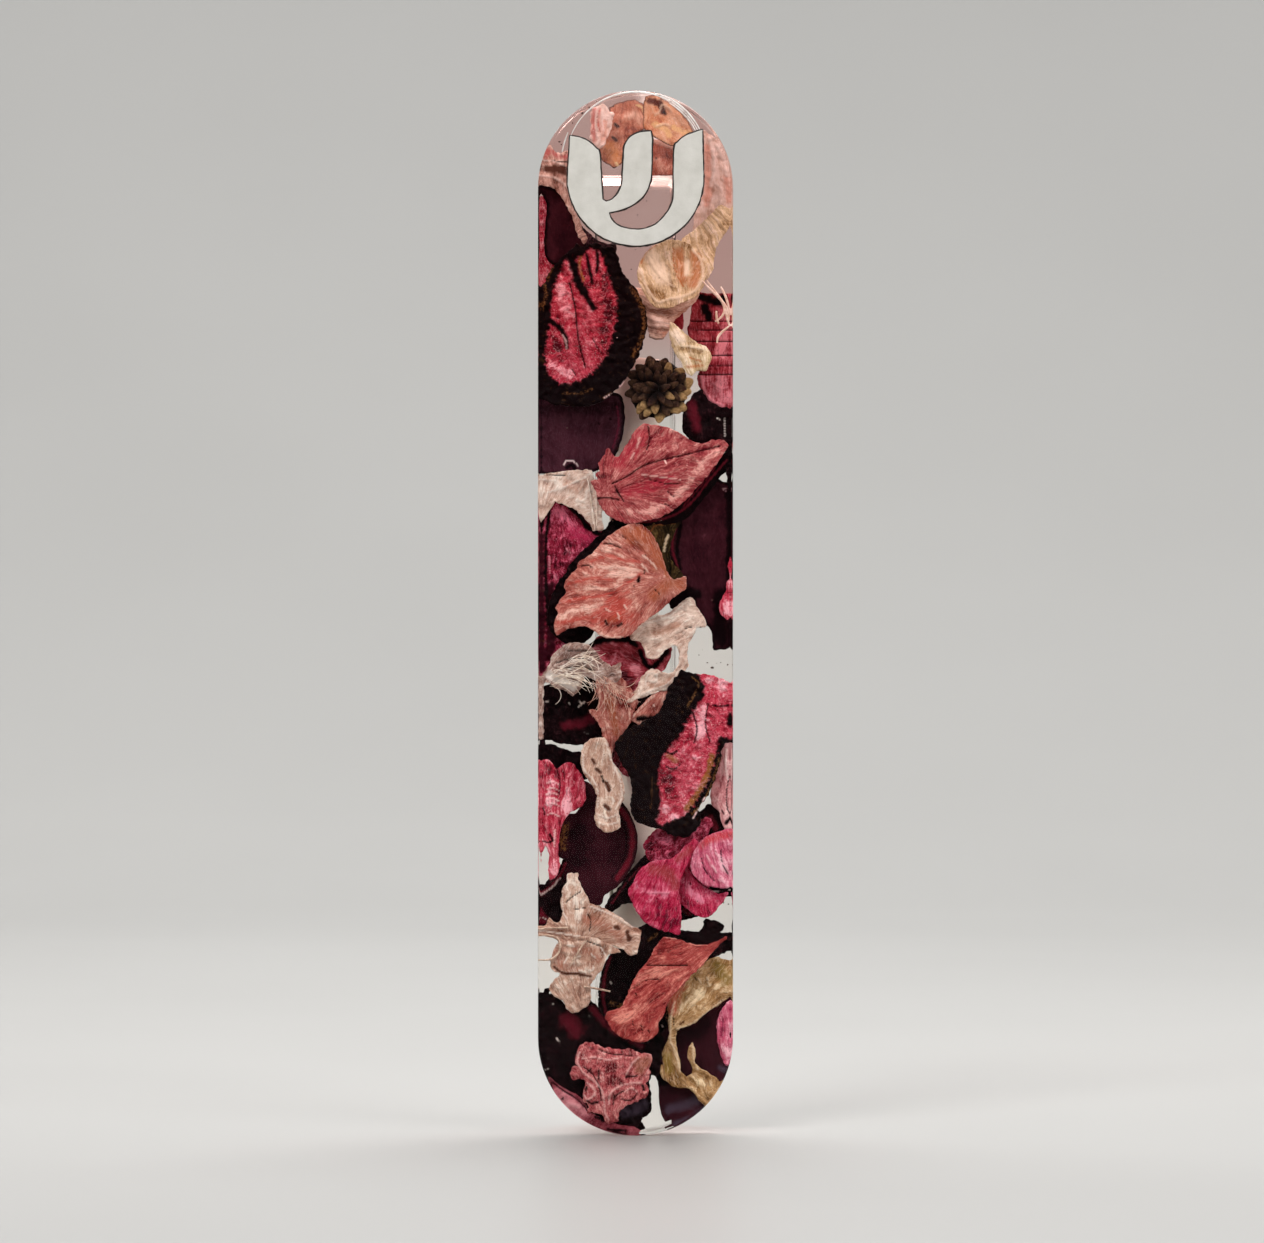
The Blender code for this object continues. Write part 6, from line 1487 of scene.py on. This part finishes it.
def bevelled(front, back, edge):
    """(y, inset) pairs round the rounded edges at the front and at the back."""
    turns = [math.pi / 2 * step / 5 for step in range(6)]
    pairs = [(front + edge * (1 - math.cos(turn)), edge * (1 - math.sin(turn))) for turn in turns]
    return pairs + [(back - edge * (1 - math.sin(turn)), edge * (1 - math.cos(turn))) for turn in turns]


def make_resin():
    """One clear solid for the five resin layers, with rounded edges and the channel in its back."""
    steps, edge = 48, 0.45
    low_centre, high_centre = CASE_RADIUS, CASE_LENGTH - CASE_RADIUS
    loops = []
    for y, inset in bevelled(FRONT, 0.0, edge):
        loops.append([(x, z, y) for x, z in slot_loop(CASE_RADIUS - inset, low_centre, high_centre, steps)])
    # The channel from its mouth to its floor, as (y, how much larger it is there).
    for y, grow in ((0.0, 0.25), (-0.2, 0.05), (-0.4, 0.0), (-CHANNEL_DEPTH + 0.5, 0.0),
                    (-CHANNEL_DEPTH + 0.12, -0.12), (-CHANNEL_DEPTH, -0.5)):
        draft = CHANNEL_DRAFT * -y / CHANNEL_DEPTH
        loops.append([(x, z, y) for x, z in channel_loop(grow, draft, steps)])
    size = len(loops[0])
    vertices = [at(*point) for loop in loops for point in loop]
    faces = quads(0, len(loops), size, closed=True)
    faces.append(tuple(range(size)))
    faces.append(tuple(reversed(range((len(loops) - 1) * size, len(loops) * size))))
    chance = random.Random(3)
    for _ in range(46):
        x = chance.uniform(-12.5, 12.5)
        height = chance.uniform(12, 140)
        centre = at(x, height, chance.uniform(-16.9, -16.4))
        radius = chance.uniform(0.04, 0.11) * MM
        # An air bubble's faces look inwards, because the resin is outside it.
        add_ball(vertices, faces, lambda spot: centre + spot * radius, inwards=True)
    resin = new_object("resin_case", vertices, faces, smooth=False)
    mesh = resin.data
    work = bmesh.new()
    work.from_mesh(mesh)
    shell = [face for face in work.faces if len(face.verts) != 3]
    bmesh.ops.recalc_face_normals(work, faces=shell)
    work.to_mesh(mesh)
    work.free()
    mesh.shade_smooth()
    mesh.set_sharp_from_angle(angle=math.radians(24))
    mesh.materials.append(resin_material())
    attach(resin, "case")
    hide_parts("resin_face_layer", "resin_front_petal_layer", "resin_middle_petal_layer",
                "resin_rear_petal_layer", "resin_back_block")


# ---------------------------------------------------------------- emblem

def make_plate(name, outline, back, thickness, bevel, material):
    """A flat piece with a small bevel, cut to an outline."""
    curve = bpy.data.curves.new(name, "CURVE")
    curve.dimensions = "2D"
    curve.fill_mode = "BOTH"
    curve.extrude = (thickness / 2 - bevel) * MM
    curve.bevel_depth = bevel * MM
    curve.bevel_resolution = 2
    curve.offset = -bevel * MM
    path = curve.splines.new("POLY")
    path.points.add(len(outline) - 1)
    for point, (x, z) in zip(path.points, outline):
        point.co = (x * MM, z * MM, 0.0, 1.0)
    path.use_cyclic_u = True
    curve.materials.append(material)
    obj = linked(name, curve)
    obj.rotation_euler = (math.pi / 2, 0.0, 0.0)
    obj.location = (0.0, (back - thickness / 2) * MM, BOTTOM)
    return obj


def make_letter():
    """The white letter, with a thin dark outline just outside its edge."""
    low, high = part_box("emblem_letter_shin")
    back, front = high.y / MM, low.y / MM
    outline = sharp_spline(node_outline("emblem_letter_shin"), 0.3, 38)
    wobble = wavy(outline, 0.8, 3) * 0.05 + wavy(outline, 2.6, 5) * 0.05
    normal = normals_of(outline)
    shader = Shader("white_letter_sheet")
    place = shader.place()
    cloud = shader.noise(place, 0.45, 4.0, 0.6)
    grain = shader.noise(place, 4.5, 3.0, 0.6)
    white = shader.ramp(cloud, [(0.3, rgb(211, 208, 200)), (0.7, rgb(228, 225, 218))])
    shader.set(Base_Color=white, Roughness=0.42, Specular_IOR_Level=0.4)
    shader.bump(grain, 0.02)
    # The face is cut a little smaller than the outline, and starts just in front of the letter's back.
    inset, raised = 0.06, 0.06
    top = make_plate("emblem_letter_face", outline + normal * (wobble - inset)[:, None], back - raised,
                     back - front - raised, 0.05, shader.material)
    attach(top, "case")
    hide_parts("emblem_letter_shin")
    # A dark plate a little larger than the letter lies at its back and shows as a thin dark outline round it.
    edge = Shader("dark_letter_outline")
    outline_grain = edge.noise(edge.place(), 1.2, 3.0)
    edge.set(Base_Color=edge.ramp(outline_grain, [(0.35, rgb(12, 8, 7)), (0.75, rgb(58, 42, 36))]), Roughness=0.6)
    spread = 0.13 + 0.12 * np.abs(wavy(outline, 1.5, 8)) + 0.05 * wavy(outline, 0.5, 9)
    under = make_plate("emblem_letter_edge", outline + normal * spread[:, None], back, 0.36, 0.02,
                       edge.material)
    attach(under, "case")


def make_film():
    """The clear film behind the letter. White arcs along its rim are painted highlights."""
    low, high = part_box("emblem_film")
    radius = (high.x - low.x) / 2 / MM
    low_centre = (low.z - BOTTOM) / MM + radius
    high_centre = (high.z - BOTTOM) / MM - radius
    outline = np.array(slot_loop(radius, low_centre, high_centre, 48))
    points, faces = net_of(outline, 0.5)
    middle = layer_depth("emblem_film")
    film = new_object("emblem_film_sheet", [at(x, z, middle) for x, z in points], faces)
    shader = Shader("clear_film_sheet")
    haze = shader.noise(shader.place(), 0.5, 2.0)
    shader.set(Base_Color=rgb(236, 228, 224), Roughness=0.25, Alpha=shader.times(haze, 0.05),
               Specular_IOR_Level=0.3)
    film.data.materials.append(shader.material)
    thicken(film, (high.y - low.y) / MM * 0.6)
    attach(film, "case")
    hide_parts("emblem_film")
    rim = Shader("film_rim_highlight")
    shine = rim.noise(rim.place(), 0.8, 3.0, 0.7)
    bright = rim.ramp(shine, [(0.3, rgb(222, 206, 198)), (0.55, rgb(252, 248, 244))])
    rim.set(Base_Color=bright, Roughness=0.2, Specular_IOR_Level=0.8)
    rim.set(Alpha=rim.fade(shine, 0.22, 0.36))
    # Painted highlight arcs along the rim: how far outside it, and from where to where in degrees.
    arcs = []
    for grow, start, end in ((-0.12, 12, 160), (0.18, 20, 74), (-0.42, 24, 60)):
        reach = radius + grow
        turns = [math.radians(start + (end - start) * step / 40) for step in range(41)]
        arcs.append([(reach * math.cos(turn), high_centre + reach * math.sin(turn), middle - 0.04)
                     for turn in turns])
    arcs += at_depth([[(-9.7, 143.9), (-10.2, 142.6), (-10.5, 141.2)]], middle)
    make_strands("emblem_film_rim", arcs, 0.14, rim.material)


# ---------------------------------------------------------------- parchment

def make_scroll():
    """A blank parchment, rolled from one long sheet."""
    low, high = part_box("parchment_scroll")
    outer = (high.x - low.x) / 2 / MM
    centre_y = layer_depth("parchment_scroll")
    bottom, top = (low.z - BOTTOM) / MM, (high.z - BOTTOM) / MM
    turns, inner, thickness = 4.3, 1.5, 0.2
    steps, rows = 200, 60
    chance = random.Random(14)
    phase = [chance.uniform(0, 6.28) for _ in range(3)]
    vertices = []
    for row in range(rows + 1):
        v = row / rows
        for step in range(steps + 1):
            u = step / steps
            angle = 2 * math.pi * turns * u + 1.2
            radius = inner + (outer - thickness / 2 - inner) * u
            radius *= 1 - 0.012 * (1 + math.sin(9 * v + phase[0] + angle * 0.3))
            end = 0.12 * math.sin(2.3 * angle + phase[1]) if row in (0, rows) else 0.0
            height = bottom + 0.15 + (top - bottom - 0.3) * v + (end if row == rows else -end) * 0.5
            vertices.append(at(radius * math.cos(angle), height, centre_y + radius * math.sin(angle)))
    faces = quads(0, rows + 1, steps + 1, closed=False)
    scroll = new_object("rolled_parchment", vertices, faces)
    thicken(scroll, thickness)
    shader = Shader("parchment_sheet")
    place = shader.place()
    cloud = shader.noise(place, 0.22, 4.0, 0.6)
    grain = shader.noise(place, 3.0, 3.0)
    tone = shader.ramp(cloud, [(0.3, rgb(240, 235, 224)), (0.6, rgb(248, 245, 238)),
                               (0.8, rgb(252, 251, 247))])
    shader.set(Base_Color=tone, Roughness=0.65, Specular_IOR_Level=0.25)
    shader.bump(grain, 0.05)
    scroll.data.materials.append(shader.material)
    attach(scroll, "scroll")
    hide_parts("parchment_scroll")


# ---------------------------------------------------------------- stage, light and camera

# The camera sees VIEW_WIDTH across at the front of the case, and looks at (AIM_X, AIM_HEIGHT).
VIEW_WIDTH = 181.3
CAMERA_DISTANCE = 800.0
AIM_X, AIM_HEIGHT = -0.5, 73.8
SENSOR_WIDTH = 36.0


def make_stage():
    """A pale sheet that lies flat and then curves up behind the case."""
    half_width, front, bend_start, bend_radius, top = 1500.0, -900.0, 520.0, 520.0, 1500.0
    profile = [(front, 0.0), (bend_start, 0.0)]
    for step in range(1, 17):
        angle = math.pi / 2 * step / 16
        profile.append((bend_start + bend_radius * math.sin(angle), bend_radius * (1 - math.cos(angle))))
    profile.append((bend_start + bend_radius, top))
    vertices = [at(x, height, y) for y, height in profile for x in (-half_width, half_width)]
    sheet = new_object("backdrop", vertices, quads(0, len(profile), 2, closed=False))
    shader = Shader("pale_backdrop")
    cloud = shader.noise(shader.place(), 0.004, 3.0)
    shader.set(Base_Color=shader.ramp(cloud, [(0.3, rgb(181, 180, 178)), (0.7, rgb(186, 185, 183))]),
               Roughness=0.42, Specular_IOR_Level=0.5)
    sheet.data.materials.append(shader.material)


def add_light(name, place, aim, size, energy, colour):
    lamp = bpy.data.lights.new(name, "AREA")
    lamp.shape = "RECTANGLE"
    lamp.size, lamp.size_y = size[0] * MM, size[1] * MM
    lamp.energy = energy
    lamp.color = colour
    obj = linked(name, lamp)
    obj.location = at(*place)
    obj.rotation_euler = (at(*aim) - obj.location).to_track_quat("-Z", "Y").to_euler()


def make_light():
    """Soft light from above, in front and behind, as in a small photo tent. Places are (x, height, y)."""
    add_light("key", (-420, 840, -690), (0, 80, 0), (400, 280), 6.6, (1.0, 0.995, 0.985))
    add_light("fill", (620, 420, -520), (0, 75, 0), (500, 500), 3.2, (1.0, 0.99, 0.98))
    add_light("overhead", (0, 680, 480), (0, 0, 480), (1500, 320), 6.6, (1.0, 1.0, 0.99))
    add_light("top", (40, 520, 110), (0, 0, -30), (240, 180), 1.7, (1.0, 0.99, 0.98))
    world = bpy.data.worlds.new("soft_room")
    world.use_nodes = True
    background = world.node_tree.nodes["Background"]
    background.inputs["Color"].default_value = (0.92, 0.915, 0.90, 1.0)
    background.inputs["Strength"].default_value = 0.09
    bpy.context.scene.world = world


def make_camera():
    """Straight in front of the middle of the case."""
    data = bpy.data.cameras.new("camera")
    data.sensor_width = SENSOR_WIDTH
    data.lens = SENSOR_WIDTH * CAMERA_DISTANCE / VIEW_WIDTH
    data.clip_start, data.clip_end = 0.01, 20.0
    camera = linked("camera", data)
    camera.location = at(AIM_X, AIM_HEIGHT, FRONT - CAMERA_DISTANCE)
    camera.rotation_euler = (math.pi / 2, 0.0, 0.0)
    bpy.context.scene.camera = camera


make_camera()
make_stage()
make_light()
make_petals()
make_alder_cone()
make_fibres()
make_specks()
make_resin()
make_letter()
make_film()
make_scroll()
bpy.context.scene.view_settings.view_transform = "Standard"
